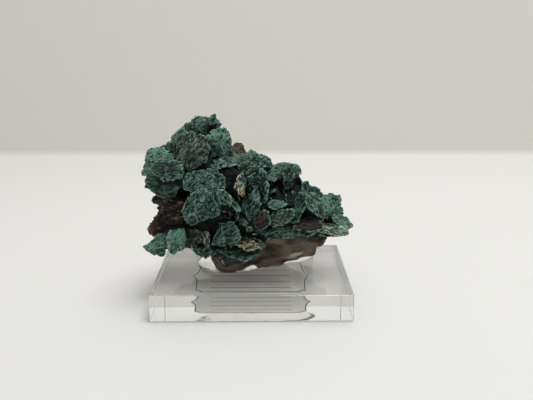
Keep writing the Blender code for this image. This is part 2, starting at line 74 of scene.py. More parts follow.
FRONT_BLADES = (
    Seen("crown_peak", 203, 125, 1.0, 4.3, 3.3, 20, 10, 30, 0.6, 0.5, 0.2, 0.55),
    Seen("crown_right", 221, 143, -1.5, 4.6, 3.3, 60, 20, 10, 0.5, 0.8, 0.1, 0.9),
    Seen("crown_back", 205, 136, 2.0, 5.0, 4.0, -50, 10, 20, 0.6, 0.6, 0.1, 0.6),
    Seen("crown_tip", 213, 119, 0.6, 2.0, 0.9, 60, 0, 20, 0.0, 0.3, 0.2, 0.4),
    Seen("crown_left", 187, 129, 1.0, 2.4, 1.7, 50, -30, 15, 0.3, 0.6, 0.2, 0.5),
    Seen("upper_left", 179, 138, -1.0, 3.3, 2.8, 60, -25, 20, 0.5, 0.6, 0.4, 0.7),
    Seen("dark_face", 194, 152, -6.0, 5.0, 3.9, 60, 5, 15, 0.7, -0.8, 0.0, 0.2),
    Seen("dark_shoulder", 183, 145, -4.0, 3.8, 2.8, 50, -15, 20, 0.5, -0.7, 0.1, 0.4),
    Seen("left_bud", 169, 148, -2.0, 2.0, 1.4, 60, -20, 15, 0.2, -0.2, 0.0, 0.4),
    Seen("left_upper", 155.5, 161, -3.5, 4.8, 3.5, 8, -20, 30, 0.6, 1.0, 0.15, 0.7),
    Seen("left_rosette", 161, 179, -7.0, 5.6, 4.4, -8, -12, 5, 0.8, 0.0, 0.0, 0.2),
    Seen("left_rosette_top", 167, 170, -8.0, 4.4, 2.6, -8, -5, 30, 0.5, -0.2, 0.0, 0.2),
    Seen("left_rosette_foot", 166, 193, -6.5, 3.5, 2.4, 10, -5, -15, 0.5, -0.1, 0.0, 0.3),
    Seen("centre_upper", 207, 183, -10.0, 5.6, 3.9, -6, 0, 28, 0.9, 0.1, 0.0, 0.9),
    Seen("centre_lower", 198, 208, -12.0, 5.2, 4.1, 65, -5, 5, 0.8, 0.2, 0.0, 0.85),
    Seen("centre_lower_right", 212, 203, -11.0, 3.6, 3.0, 40, 8, 8, 0.4, 0.1, 0.0, 0.8),
    Seen("small_leaf", 223, 198, -12.5, 2.9, 1.7, -48, -15, 10, 0.3, 0.4, 0.0, 0.8),
    Seen("sliver", 234, 203, -11.0, 2.6, 0.9, -58, 25, 10, 0.1, 0.2, 0.0, 0.3),
    Seen("inner_left", 227, 180, -5.0, 4.2, 3.2, 20, 10, 10, 0.4, -0.3, 0.0, 0.5),
    Seen("yellow_edge", 242, 185, -7.0, 3.4, 1.9, 66, 50, 10, 0.2, 0.1, 0.82, 0.6),
    Seen("inner_striped", 250, 203, -8.0, 4.0, 2.7, 60, -30, 10, 0.5, -0.1, 0.0, 0.1),
    Seen("inner_upright", 263, 193, -8.0, 3.0, 1.5, 84, -50, 5, 0.2, 0.1, 0.0, 0.1),
    Seen("shelf_left", 219, 158, -2.0, 5.4, 3.3, 12, 0, 72, 0.5, 0.6, 0.1, 0.6),
    Seen("shelf_right", 247, 157, -0.5, 5.8, 3.4, 3, 8, 68, 0.5, 0.3, 0.4, 0.7),
    Seen("shelf_corner", 266, 161, -1.5, 2.3, 1.5, -48, 30, 20, 0.1, 0.1, 0.2, 0.4),
    Seen("rough_face", 255, 171, -3.0, 4.0, 3.1, 20, 15, 5, 0.5, -0.2, 0.1, 0.9),
    Seen("rough_face_low", 259, 182, -4.5, 3.4, 2.4, 70, 0, 5, 0.4, -0.1, 0.0, 0.8),
    Seen("arch_top", 279, 169, -1.5, 5.0, 2.8, 14, 0, 55, 0.5, 0.4, 0.1, 0.5),
    Seen("arch_curtain", 292, 176, -3.5, 3.6, 2.3, 75, 20, 5, 0.6, 0.1, 0.3, 0.9),
    Seen("arch_corner", 297, 169, -2.5, 1.6, 1.0, -60, 20, 10, 0.1, 0.2, 0.2, 0.4),
    Seen("cavity_lip", 285, 198, -4.5, 5.4, 2.6, 22, 0, 45, 0.4, 0.0, 0.0, 0.3),
    Seen("small_shelf", 277, 204, -7.0, 3.1, 1.5, -12, 0, 45, 0.2, 0.5, 0.0, 0.4),
    Seen("tent_left", 297, 208, -6.5, 4.9, 2.2, 60, -38, 20, 0.4, 0.1, 0.1, 0.3),
    Seen("tent_right", 315, 204, -5.5, 4.8, 2.4, -48, 45, 35, 0.4, 0.0, 0.4, 0.6),
    Seen("tent_back", 311, 212, -3.5, 4.2, 3.0, -30, 5, 10, 0.3, -0.9, 0.0, 0.3),
    Seen("tent_spike", 305, 190, -4.5, 2.6, 1.5, 70, -10, 10, 0.2, 0.1, 0.0, 0.4),
    Seen("ridge_back", 313, 200, 0.0, 4.4, 3.2, -40, 10, 20, 0.4, 0.0, 0.0, 0.4),
    Seen("wing_upper", 331, 206, 0.5, 4.8, 3.6, -45, 20, 28, 0.6, 0.7, 0.0, 0.2),
    Seen("wing_tip", 343, 220, -1.0, 3.8, 2.0, -32, 20, 45, 0.3, 0.6, 0.3, 0.3),
    Seen("wing_ledge", 332, 227, -3.5, 5.6, 2.6, -8, 0, 66, 0.3, 0.6, 0.6, 0.6),
    Seen("wing_under", 326, 228, -2.5, 5.6, 2.4, 2, 0, 60, 0.3, 0.1, 0.2, 0.4),
    Seen("grey_plate", 309, 224, -7.0, 4.9, 2.0, -3, 0, 35, 0.3, -1.0, 0.0, 0.3),
    Seen("green_apron", 294, 227, -5.5, 5.6, 2.6, 12, -5, 38, 0.5, 0.2, 0.0, 0.4),
    Seen("green_apron_left", 277, 231, -6.0, 4.2, 1.9, 26, -8, 34, 0.3, 0.2, 0.0, 0.4),
    Seen("brown_face", 261, 221, -9.0, 3.0, 2.1, 70, -25, 10, 0.3, -1.0, 0.0, 0.7),
    Seen("brown_shelf", 279, 218, -8.5, 4.3, 2.0, 20, -10, 25, 0.3, -0.8, 0.0, 0.5),
    Seen("round_front", 227, 235, -10.0, 3.4, 3.0, 30, 0, 10, 0.5, -0.1, 0.0, 0.15),
    # The blades named shadow lie in a hollow: their dark smoky tones are partly their own colour and partly
    # painted shade, and they also get the full painted shade of the hollows.
    Seen("shadow_left", 221, 216, -7.0, 5.4, 3.0, 5, 0, -8, 0.4, -0.6, 0.0, 0.4),
    Seen("shadow_right", 253, 218, -5.0, 5.2, 3.2, -5, 0, 0, 0.4, -0.7, 0.0, 0.4),
    Seen("shadow_low", 209, 229, -6.0, 4.2, 3.2, 0, -10, 0, 0.4, -0.7, 0.0, 0.4),
    Seen("shadow_centre", 252, 233, -5.2, 5.0, 3.0, 0, 0, 10, 0.4, -0.8, 0.1, 0.5),
    Seen("square_stub", 205, 240, -7.5, 2.5, 1.6, 88, -30, 5, 0.1, -0.4, 0.7, 0.4),
    Seen("stub_back", 190, 238, -6.0, 4.2, 2.6, 20, -10, 10, 0.2, -0.5, 0.4, 0.4),
    Seen("paw_back", 165, 238, -6.5, 5.7, 2.6, 34, -8, 42, 0.5, 0.9, 0.0, 0.4),
    Seen("paw_edge", 152, 248, -7.0, 2.6, 1.6, 8, -10, 15, 0.2, 0.6, 0.0, 0.4),
    Seen("paw_front", 176, 241, -9.0, 3.8, 2.4, 62, 5, 10, 0.6, 1.0, 0.3, 0.4),
    Seen("paw_toe", 160, 252, -7.8, 1.8, 1.2, 0, 0, 0, 0.2, -0.1, 0.0, 0.4),
    Seen("base_left", 205, 249, -7.0, 3.8, 2.0, -12, 0, 48, 0.3, 0.0, 0.1, 0.4),
    Seen("base_sheet", 242, 250, -6.6, 7.6, 2.8, 0, 0, 52, 0.5, 0.1, 0.0, 0.5),
    Seen("base_crust", 249, 242, -7.5, 4.8, 2.2, -10, 0, 52, 0.3, 0.0, 0.9, 0.9),
)

# Blades that the solids leave out. Most fill the hollows between the others and are painted near black as shade.
INNER_BLADES = (
    Seen("cavity_back", 276, 186, 1.0, 5.4, 3.6, 10, 0, 15, 0.4, -0.4, 0.0, 0.1),
    Seen("inner_back", 243, 178, -1.0, 5.0, 3.6, 30, -10, 10, 0.4, -0.3, 0.0, 0.3),
    Seen("neck", 199, 168, -4.5, 5.0, 2.8, 10, 0, 25, 0.4, -0.3, 0.0, 0.4),
    Seen("left_gap", 181, 172, -3.5, 5.0, 3.4, 70, 0, 5, 0.4, -0.3, 0.0, 0.4),
    Seen("shadow_inner", 285, 223, -4.0, 5.6, 3.4, 5, 0, 10, 0.3, -0.4, 0.0, 0.4),
    Seen("left_tip", 161, 149, -1.0, 1.5, 1.0, 40, -30, 10, 0.2, 0.5, 0.6, 0.4),
    Seen("apron_edge", 303, 230, -5.0, 9.6, 1.7, 6, 0, 52, 0.5, 0.3, 0.1, 0.3),
    Seen("tent_ridge", 312, 197, -5.5, 5.6, 1.5, -42, 10, 35, 0.3, 0.2, 0.2, 0.3),
)

# A patch of blades that grow out of the back of the rock round one spot, in millimetres.
Patch = namedtuple("Patch", "name x y z count spread size")
BACK_PATCHES = (
    Patch("crown_behind", -14.0, 9.0, 41.0, 5, 4.5, 3.8),
    Patch("left_behind", -22.0, 6.0, 29.0, 3, 3.5, 3.4),
    Patch("ridge_behind", 3.0, 11.0, 34.0, 4, 4.0, 3.6),
    Patch("right_behind", 13.0, 8.0, 26.0, 4, 4.5, 3.4),
    Patch("far_right", 20.0, 4.0, 20.0, 3, 3.0, 3.2),
)
PATCH_PROUD = 1.2
PATCH_LEAN = 0.5
PATCH_SEED = 12

# The outline of a blade is a squarish oval with low lobes, as in the solids.
LOBES = ((2, 0.08), (3, 0.10), (4, 0.05))
OUTLINE_POWER = 2.4
FIRST_SEED = 520

# The matrix rock: an egg about its centre, whose surface is pulled to each named point in turn.
ROCK_CENTRE = np.array([-3.0, 4.0, 22.0])
ROCK_RADII = np.array([20.0, 8.5, 12.0])
Pull = namedtuple("Pull", "name x y z sharpness")
ROCK_PULLS = (
    Pull("under_left", -9.0, -1.5, 8.4, 12.0),
    Pull("under_right", 11.0, 6.5, 11.8, 14.0),
    Pull("back_boss", -8.0, 14.5, 27.0, 8.0),
    Pull("back_hollow", 8.0, 10.5, 22.0, 14.0),
    Pull("crown_core", -14.0, 4.5, 41.0, 25.0),
    Pull("top_knob", -5.0, 8.0, 37.9, 24.0),
    Pull("right_keel", 19.0, 1.0, 17.0, 40.0),
    Pull("keel_front", 12.0, -2.5, 14.5, 20.0),
    Pull("left_shoulder", -27.0, -1.5, 26.6, 90.0),
    Pull("left_foot", -27.6, -3.0, 19.3, 90.0),
    Pull("left_notch", -22.0, -2.3, 23.0, 260.0),
    Pull("underside_left", -7.5, -0.6, 6.4, 25.0),
    Pull("underside_middle", 2.0, 2.2, 6.8, 30.0),
    Pull("underside_right", 7.8, 3.6, 7.0, 40.0),
    Pull("keel_tip", 20.6, 0.8, 15.9, 60.0),
    Pull("keel_middle", 15.2, 0.3, 11.7, 50.0),
)
RIPPLES = ((0.45, 0.35), (0.35, 0.8), (0.2, 1.5))
ROCK_SEED = 7
ROCK_CLEAR = 0.15
WET_SMOOTH = 0.8

# Where the rock is reddest, and the oval of pale painted highlight on the rock under the gel, in millimetres.
RUST_SPOTS = ((-4.6, 8.0, 38.2), (-26.5, -3.0, 19.5))
RUST_REACH = 4.0
GEL_HIGHLIGHT_MIDDLE = np.array([10.4, 11.3])
GEL_HIGHLIGHT_HALF = np.array([2.9, 0.6])
GEL_HIGHLIGHT_SLOPE = math.radians(22.0)

# A skin over part of the rock is proud of it where it covers and sunk where it doesn't.
Skin = namedtuple("Skin", "faces start full proud spots bare")
SKIN_SUNK = -4.0
SPOT_SHARPNESS = 30.0
MALACHITE_SKIN = Skin(
    faces=np.array([0.05, -0.80, 0.60]),
    start=-0.45,
    full=0.12,
    proud=1.6,
    spots=tuple((patch.x, patch.y, patch.z) for patch in BACK_PATCHES),
    bare=(
        (-25.5, -1.5, 26.5), (-26.0, -1.0, 22.0), (-5.0, 9.0, 38.0), (9.0, 0.0, 9.0), (18.0, 1.0, 14.0), (9.5, -2.5, 12.5),
    ),
)
GEL_SKIN = Skin(
    faces=np.array([0.25, -0.45, -0.86]),
    start=0.30,
    full=0.72,
    proud=1.0,
    spots=(),
    bare=((-24.0, -2.0, 17.0), (-3.0, -6.0, 16.5), (-11.0, -5.5, 16.0)),
)

# Mounds of gel on the block: middle, half width, half depth and height, in millimetres.
Mound = namedtuple("Mound", "name x y half_wide half_deep height")
GEL_MOUNDS = (
    Mound("left", -6.3, 4.2, 8.9, 7.6, 4.4),
    Mound("middle", 4.0, 8.0, 6.0, 4.2, 4.6),
    Mound("right", 12.0, 8.6, 5.2, 4.6, 7.4),
)

# How fine the surfaces are made, in millimetres.
BLADE_CELL = 0.17
CHIPS = 420
CHIP_SEED = 41
CHIP_SIZES = (0.8, 2.1)
CHIP_CELL = 0.26
CHIPS_FACE = np.array([0.1, -0.9, 0.5])
# Painted shade on the chips that face the front.
CHIPS_SHADE_PAINT = 0.35
CHIPS_BACK = np.array([0.2, 0.7, 0.5])
SIDES = (5, 9)
STRAIGHT = 0.85
LEAF_CELL = 0.42
BLADE_THICKNESS = 0.4
WAVE_HEIGHT = 0.55
STEP_HEIGHT = 0.16
RIM_WIDTH = 0.45


# Noise

def lattice_gradients():
    chance = np.random.default_rng(3)
    vectors = chance.normal(size=(256, 3))
    return vectors / np.linalg.norm(vectors, axis=1)[:, None]


GRADIENTS = lattice_gradients()


def noise(points, seed=0.0):
    """Gradient noise from about -1 to 1: random slopes at whole-number points, blended smoothly."""
    points = points + seed
    cell = np.floor(points).astype(np.int64)
    inside = points - cell
    blend = inside**3 * (inside * (inside * 6.0 - 15.0) + 10.0)
    total = np.zeros(points.shape[0])
    for i in (0, 1):
        for j in (0, 1):
            for k in (0, 1):
                corner = np.array([i, j, k])
                x, y, z = (cell + corner).T
                key = (x * 73856093) ^ (y * 19349663) ^ (z * 83492791)
                slope = GRADIENTS[(key ^ (key >> 9)) & 255]
                weight = np.prod(np.where(corner == 1, blend, 1.0 - blend), axis=1)
                total += weight * np.einsum("ij,ij->i", slope, inside - corner)
    return total * 1.7


def fractal(points, octaves, seed=0.0):
    """Noise summed over octaves, each twice as fine and half as high as the one before."""
    total = np.zeros(points.shape[0])
    for octave in range(octaves):
        total += noise(points * 2.0**octave, seed + 17.0 * octave) * 0.5**octave
    return total


def warp(points, scale, amount, seed):
    """Points moved by three noises of one scale, so that a pattern read there is drawn out in curves."""
    moves = [noise(points / scale, seed + 31.0 * axis) for axis in range(3)]
    return points + amount * np.column_stack(moves)


def ridged(points, seed):
    """Noise folded about zero, so that its zero lines are crests: 1 on a crest and 0 far from it."""
    return 1.0 - np.clip(np.abs(noise(points, seed)) * 2.2, 0.0, 1.0)


def smoothstep(low, high, values):
    share = np.clip((values - low) / (high - low), 0.0, 1.0)
    return share * share * (3.0 - 2.0 * share)


# Places

def unit(vector):
    return vector / np.linalg.norm(vector)


def seen(u, v, depth):
    """The point where the sight line through pixel (u, v) crosses the plane Y = depth."""
    pitch = math.radians(PITCH_DOWN)
    turn = math.radians(TURN_RIGHT)
    ahead = np.array([math.sin(turn) * math.cos(pitch), math.cos(turn) * math.cos(pitch), -math.sin(pitch)])
    right = np.array([math.cos(turn), -math.sin(turn), 0.0])
    up = np.cross(right, ahead)
    sight = FOCAL * ahead + (u - CENTRE_U) * right - (v - CENTRE_V) * up
    return EYE + sight * (depth - EYE[1]) / sight[1]


def blade_middle(blade):
    if isinstance(blade, Seen):
        return seen(blade.u, blade.v, blade.depth)
    return np.array([blade.x, blade.y, blade.z])


def blade_axes(blade):
    """The blade's long axis, cross axis and face normal."""
    turned = math.radians(blade.turned)
    tilted = math.radians(blade.tilted)
    slope = math.radians(blade.slope)
    face = np.array([math.sin(turned) * math.cos(tilted), -math.cos(turned) * math.cos(tilted), math.sin(tilted)])
    along = np.array([math.cos(slope), 0.0, math.sin(slope)])
    along = unit(along - face * (along @ face))
    return along, np.cross(face, along), face


def rock_radius(directions):
    """Distance from the rock's centre to its surface in each direction, in millimetres."""
    radius = 1.0 / np.linalg.norm(directions / ROCK_RADII, axis=1)
    for pull in ROCK_PULLS:
        reach = np.array([pull.x, pull.y, pull.z]) - ROCK_CENTRE
        near = np.exp(pull.sharpness * (directions @ unit(reach) - 1.0))
        radius += (np.linalg.norm(reach) - radius) * near
    chance = np.random.default_rng(ROCK_SEED)
    for height, wave in RIPPLES:
        for axis in np.eye(3):
            heading = unit(axis + chance.normal(0.0, 0.4, 3))
            radius += height * np.sin(wave * (directions * radius[:, None]) @ heading + chance.uniform(0.0, 6.3))
    return radius


def skin_offset(skin, directions):
    """How far a skin stands proud of the rock in each direction."""
    cover = np.clip((directions @ unit(skin.faces) - skin.start) / (skin.full - skin.start), 0.0, 1.0)
    for spot in skin.spots:
        near = np.exp(SPOT_SHARPNESS * (directions @ unit(np.array(spot) - ROCK_CENTRE) - 1.0))
        cover = np.maximum(cover, np.clip(2.0 * near, 0.0, 1.0))
    for spot in skin.bare:
        near = np.exp(SPOT_SHARPNESS * (directions @ unit(np.array(spot) - ROCK_CENTRE) - 1.0))
        cover = np.minimum(cover, 1.0 - np.clip(2.0 * near, 0.0, 1.0))
    return SKIN_SUNK + (skin.proud - SKIN_SUNK) * cover


def patch_blades():
    """The blades of the back, set on the rock round each patch's spot and leaning outward."""
    chance = np.random.default_rng(PATCH_SEED)
    blades = []
    for patch in BACK_PATCHES:
        for number in range(patch.count):
            spot = np.array([patch.x, patch.y, patch.z]) + chance.normal(0.0, patch.spread / 2, 3)
            direction = unit(spot - ROCK_CENTRE)
            middle = ROCK_CENTRE + direction * (rock_radius(direction[None, :])[0] + PATCH_PROUD)
            face = unit(direction + chance.normal(0.0, PATCH_LEAN, 3))
            turned = math.degrees(math.atan2(face[0], -face[1]))
            tilted = math.degrees(math.asin(face[2]))
            size = patch.size * chance.uniform(0.8, 1.2)
            slope = chance.uniform(-80.0, 80.0)
            name = f"{patch.name}_{number + 1}"
            blades.append(Placed(name, *middle, size, size * 0.75, slope, turned, tilted, 0.4, 0.1, 0.1, 0.5))
    return blades


# How open each place is, which sets the painted shade in the hollows

CELL = 0.6
BOX_LOW = np.array([-36.0, -22.0, 4.0])
BOX_CELLS = (120, 75, 90)
BLURS = 3
LOOK_DISTANCES = (1.6, 2.8, 4.0, 5.4)
CLOSING = 4.0


def blurred(grid):
    for _ in range(BLURS):
        for axis in range(3):
            grid = (np.roll(grid, 1, axis) + 2.0 * grid + np.roll(grid, -1, axis)) / 4.0
    return grid


def sampled(grid, points):
    """A grid's value at each point, blended from the eight cells about it."""
    place = np.clip((points - BOX_LOW) / CELL, 0.0, np.array(grid.shape) - 1.001)
    cell = place.astype(np.int64)
    share = place - cell
    total = np.zeros(len(points))
    for i in (0, 1):
        for j in (0, 1):
            for k in (0, 1):
                corner = np.array([i, j, k])
                weight = np.prod(np.where(corner == 1, share, 1.0 - share), axis=1)
                x, y, z = (cell + corner).T
                total += weight * grid[x, y, z]
    return total


def filled_grid(surfaces):
    """Cells of 0.6 mm that hold a surface or lie in the rock, blurred over about 1 mm."""
    corners = np.stack(np.meshgrid(*[np.arange(n) for n in BOX_CELLS], indexing="ij"), axis=-1)
    toward = (BOX_LOW + corners.reshape(-1, 3) * CELL) - ROCK_CENTRE
    distance = np.maximum(np.linalg.norm(toward, axis=1), 1e-6)
    grid = (distance < rock_radius(toward / distance[:, None])).astype(float).reshape(BOX_CELLS)
    for points in surfaces:
        x, y, z = np.clip(((points - BOX_LOW) / CELL).round().astype(int), 0, np.array(BOX_CELLS) - 1).T
        grid[x, y, z] = 1.0
    return blurred(grid)


def openness(points, grid):
    """From 0 in a deep hollow to 1 in the open: how little lies between each point and the outside, on
    the way out from the line inside the rock that the blades grow from."""
    spine = SPINE_RIGHT - SPINE_LEFT
    share = np.clip((points - SPINE_LEFT) @ spine / (spine @ spine), 0.0, 1.0)
    outward_way = points - SPINE_LEFT - share[:, None] * spine
    outward_way /= np.linalg.norm(outward_way, axis=1)[:, None]
    ahead = sum(sampled(grid, points + outward_way * step) for step in LOOK_DISTANCES)
    return np.exp(-CLOSING * ahead / len(LOOK_DISTANCES))


# Meshes

def mesh_object(name, points, faces, marks=None, smooth=True):
    """An object from points in millimetres and a list of face arrays, with its marks: a number or a vector
    a point."""
    data = bpy.data.meshes.new(name)
    data.vertices.add(len(points))
    data.vertices.foreach_set("co", (points * MM).astype(np.float32).ravel())
    corners = np.concatenate([block.ravel() for block in faces]).astype(np.int32)
    sizes = np.concatenate([np.full(len(block), block.shape[1]) for block in faces]).astype(np.int32)
    data.loops.add(len(corners))
    data.loops.foreach_set("vertex_index", corners)
    data.polygons.add(len(sizes))
    data.polygons.foreach_set("loop_start", np.concatenate([[0], np.cumsum(sizes)[:-1]]).astype(np.int32))
    data.polygons.foreach_set("loop_total", sizes)
    data.polygons.foreach_set("use_smooth", np.full(len(sizes), smooth))
    data.update(calc_edges=True)
    for mark, values in (marks or {}).items():
        kind, field = ("FLOAT_VECTOR", "vector") if values.ndim == 2 else ("FLOAT", "value")
        data.attributes.new(mark, kind, "POINT").data.foreach_set(field, values.astype(np.float32).ravel())
    obj = bpy.data.objects.new(name, data)
    bpy.context.scene.collection.objects.link(obj)
    return obj


def add_piece(name, points, faces, material, replaced, marks=None, smooth=True):
    obj = mesh_object(name, points, faces, marks, smooth)
    obj.data.materials.append(material)
    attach(obj, "root")
    if replaced:
        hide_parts(replaced)
    return obj


def grid_faces(rows, columns):
    """Quads of a grid of points stored row by row."""
    corner = (np.arange(rows - 1)[:, None] * columns + np.arange(columns - 1)[None, :]).ravel()
    return np.column_stack([corner, corner + 1, corner + columns + 1, corner + columns])


def disc_grid(rows, columns):
    """Polar places of a square grid pressed into a disc, so that its squares stay about as large.

    The distance is the larger of the two grid coordinates, and the angle runs evenly round each square
    ring of the grid.
    """
    a, b = np.meshgrid(np.linspace(-1.0, 1.0, columns), np.linspace(-1.0, 1.0, rows))
    a = a.ravel()
    b = b.ravel()
    wide = np.abs(a) >= np.abs(b)
    larger = np.where(wide, a, b)
    smaller = np.where(wide, b, a)
    turn = math.pi / 4 * np.divide(smaller, larger, out=np.zeros_like(a), where=larger != 0.0)
    angles = np.where(wide, turn, math.pi / 2 - turn) + np.where(larger < 0.0, math.pi, 0.0)
    return np.abs(larger), angles


def rim_reach(blade, angles, seed):
    """Distance from a blade's middle to its rim at each angle: a squarish oval with low lobes."""
    cosines = np.abs(np.cos(angles) / blade.long)
    sines = np.abs(np.sin(angles) / blade.wide)
    oval = (cosines**OUTLINE_POWER + sines**OUTLINE_POWER) ** (-1.0 / OUTLINE_POWER)
    phases = np.random.default_rng(FIRST_SEED + seed).uniform(0.0, 2.0 * math.pi, len(LOBES))
    for (count, height), phase in zip(LOBES, phases):
        oval = oval * (1.0 + height * np.sin(count * angles + phase))
    return oval


def broken_reach(blade, angles, seed):
    """The rim of a blade between its lobed oval and a crystal's straight sides, which are lines that
    touch the oval at five to eight random angles."""
    chance = np.random.default_rng(400 + seed)
    count = chance.integers(*SIDES)
    sides = (np.arange(count) + chance.uniform(-0.35, 0.35, count)) * 2.0 * math.pi / count
    touch = rim_reach(blade, sides, seed) * chance.uniform(0.86, 1.0, count)
    lines = touch / np.maximum(np.cos(angles[:, None] - sides), 0.2)
    straight = np.minimum(lines.min(axis=1), 1.15 * rim_reach(blade, angles, seed))
    return (1.0 - STRAIGHT) * rim_reach(blade, angles, seed) + STRAIGHT * straight


def blade_strands(blade, x, y, seed):
    """Places on a blade in strand lengths and strand widths, so that a noise read there is drawn out.

    By the blade's grain they are a mix of strands that fan out from beyond one end, strands that lie
    along the blade in curves, and short ones bent more strongly.
    """
    flat = np.column_stack([x, y, np.full_like(x, seed * 3.7)])
    silky = max(0.0, 1.0 - 2.0 * blade.grain)
    grainy = max(0.0, 2.0 * blade.grain - 1.0)
    curved = 1.0 - silky - grainy
    back = x + 1.3 * blade.long
    fan = np.arctan2(y, back) * 1.3 * blade.long
    fanned = np.column_stack([np.hypot(y, back), fan, flat[:, 2]]) + 0.5 * noise(flat / 2.5, 6.0)[:, None]
    strands = silky * fanned / np.array([2.6, 0.5, 1.0])
    strands += curved * warp(flat, 2.6, 0.9, 50.0) / np.array([1.9, 0.55, 1.0])
    strands += grainy * warp(flat, 1.2, 0.4, 80.0) / np.array([0.95, 0.55, 1.0])
    return strands


def blade_steps(blade, x, y, seed):
    """Broken ends of layers: ragged lines across the blade with the ground lower on one side. Gives the drop and
    how much each point belongs to a step's brink, painted light as a highlight, or to its foot as a minus, painted
    dark as shade."""
    chance = np.random.default_rng(7000 + seed)
    flat = np.column_stack([x, y, np.full_like(x, seed * 2.3)])
    ragged = 0.45 * noise(flat / 1.3, 60.0) + 0.14 * noise(flat / 0.4, 61.0)
    drop = np.zeros_like(x)
    brink_light_foot_shade = np.zeros_like(x)
    for _ in range(2 + int(blade.wide)):
        heading = chance.uniform(0.0, 2.0 * math.pi)
        past = x * math.cos(heading) + y * math.sin(heading) + ragged - blade.wide * chance.uniform(-0.1, 0.75)
        drop += smoothstep(0.0, 0.12, past)
        brink_light_foot_shade += np.exp(-((past + 0.08) / 0.13) ** 2) - 0.8 * np.exp(-((past - 0.22) / 0.16) ** 2)
    return drop, brink_light_foot_shade


def blade_relief(blade, x, y, distance, strands, seed):
    """Height of a blade's face over its bulge, and how near each point is to a crest, which is painted lighter as
    a highlight.

    Low lumps of 3 mm, steps where layers end, folds about 1 mm apart along the strands and fine ridges
    about 0.5 mm apart.
    """
    flat = np.column_stack([x, y, np.full_like(x, seed * 3.7)])
    lumps = noise(flat / 3.0, 5.0)
    drop, brink_light_foot_shade = blade_steps(blade, x, y, seed)
    folds = ridged(strands * np.array([0.8, 0.45, 1.0]), 9.0)
    fine = ridged(strands, 21.0)
    height = 0.24 * lumps - STEP_HEIGHT * drop + 0.20 * (folds - 0.5) + 0.13 * (fine - 0.5)
    crest = 0.42 * folds**1.5 + 0.50 * fine**1.5 + 0.30 * brink_light_foot_shade + 0.12 * lumps
    return height, np.clip(crest, 0.0, 1.0)


def blade_sheet(blade, axes, middle, cell, seed):
    """One blade: two faces on pressed square grids that share their rim.

    The sheet lies at less than the bulge times the distance squared, plus a slow wave and the relief,
    and its thickness falls to nothing at the rim as a rounded edge. The rim is the solid's
    outline with scallops about 2.6 mm apart, whose cusps point inward, and notches of 0.5 mm.
    """
    along, across, face = axes
    columns = max(6, int(2 * blade.long / cell)) + 1
    rows = max(6, int(2 * blade.wide / cell)) + 1
    distance, angles = disc_grid(rows, columns)
    reach = broken_reach(blade, angles, seed)
    circle = np.column_stack([np.cos(angles), np.sin(angles), np.zeros_like(angles)]) * reach[:, None]
    scallops = 0.35 * noise(circle / 1.8, seed * 1.9) - 0.5 * ridged(circle / 2.2, seed * 1.3) ** 3 + 0.1
    notches = (0.05 + 0.10 * blade.grain) * noise(circle / 0.5, seed * 2.1)
    depth = min(1.0, blade.wide / 3.0)
    reach = reach + (scallops * depth + notches) * distance**3
    x = reach * distance * np.cos(angles)
    y = reach * distance * np.sin(angles)
    wave = WAVE_HEIGHT * depth * noise(np.column_stack([x, y, np.full_like(x, seed)]) / 4.0, 2.0)
    edge = BLADE_THICKNESS / 2 * np.sqrt(np.clip(1.0 - distance**14, 0.0, 1.0))
    strands = blade_strands(blade, x, y, seed)
    relief, crest = blade_relief(blade, x, y, distance, strands, seed)
    sheets = []
    for side in (1.0, -1.0):
        height = wave - blade.bulge * distance**2 + relief + side * edge
        sheets.append(middle + np.outer(x, along) + np.outer(y, across) + np.outer(height, face))
    points = np.vstack(sheets)
    count = rows * columns
    front = grid_faces(rows, columns)
    shared = distance >= 1.0 - 1e-9
    move = np.arange(2 * count)
    move[count:][shared] = np.flatnonzero(shared)
    quads = np.vstack([front, move[front[:, ::-1] + count]])
    used = np.ones(2 * count, dtype=bool)
    used[count:][shared] = False
    fresh = np.cumsum(used) - 1
    # The first two marks set painted highlights on crests and rims, and the last one painted shade, nought here.
    marks = {
        "ridge": np.tile(crest, 2)[used],
        "rim": np.tile(smoothstep(1.0 - RIM_WIDTH / blade.wide, 1.0, distance), 2)[used],
        "strands": np.tile(strands, (2, 1))[used],
        "tone": np.full(used.sum(), blade.tone),
        "crust": np.full(used.sum(), blade.crust),
        "deep": np.zeros(used.sum()),
    }
    return points[used], fresh[quads], marks


def turned_axes(axes, spin, lean, nod):
    """A blade's axes after a spin about its face normal and two small leans, in degrees."""
    along, across, face = axes
    turn = Matrix.Rotation(math.radians(spin), 3, Vector(face))
    turn = Matrix.Rotation(math.radians(lean), 3, Vector(along)) @ turn
    turn = Matrix.Rotation(math.radians(nod), 3, Vector(across)) @ turn
    return tuple(np.array(turn @ Vector(axis)) for axis in axes)


# The line inside the rock that blades grow from, and how a root is found on the way from it.
SPINE_LEFT = np.array([-16.0, 4.0, 24.0])
SPINE_RIGHT = np.array([14.0, 4.0, 18.0])
ROOT_STEPS = 40
ROOT_SUNK = 0.8
LEAF_SPACING = 1.1
CRUST_SUNK = 0.8
MOST_LEAVES = 5
# Painted shade: the share that the leaves behind a blade get, and the names of the blades in hollows that get it
# in full.
LEAF_SHADE_PAINT = 0.35
SHADE_PAINTED_NAMES = ("cavity", "neck", "left_gap", "shadow", "inner_back", "inner_left")


def blade_root(middle):
    """The outermost point inside the rock on the way from its spine to a blade's middle."""
    spine = SPINE_RIGHT - SPINE_LEFT
    share = np.clip((middle - SPINE_LEFT) @ spine / (spine @ spine), 0.0, 1.0)
    start = SPINE_LEFT + share * spine
    steps = start + np.linspace(0.0, 1.0, ROOT_STEPS)[:, None] * (middle - start)
    reach = steps - ROCK_CENTRE
    distance = np.linalg.norm(reach, axis=1)
    inside = distance < rock_radius(reach / distance[:, None]) - ROOT_SUNK
    return steps[np.flatnonzero(inside)[-1]]


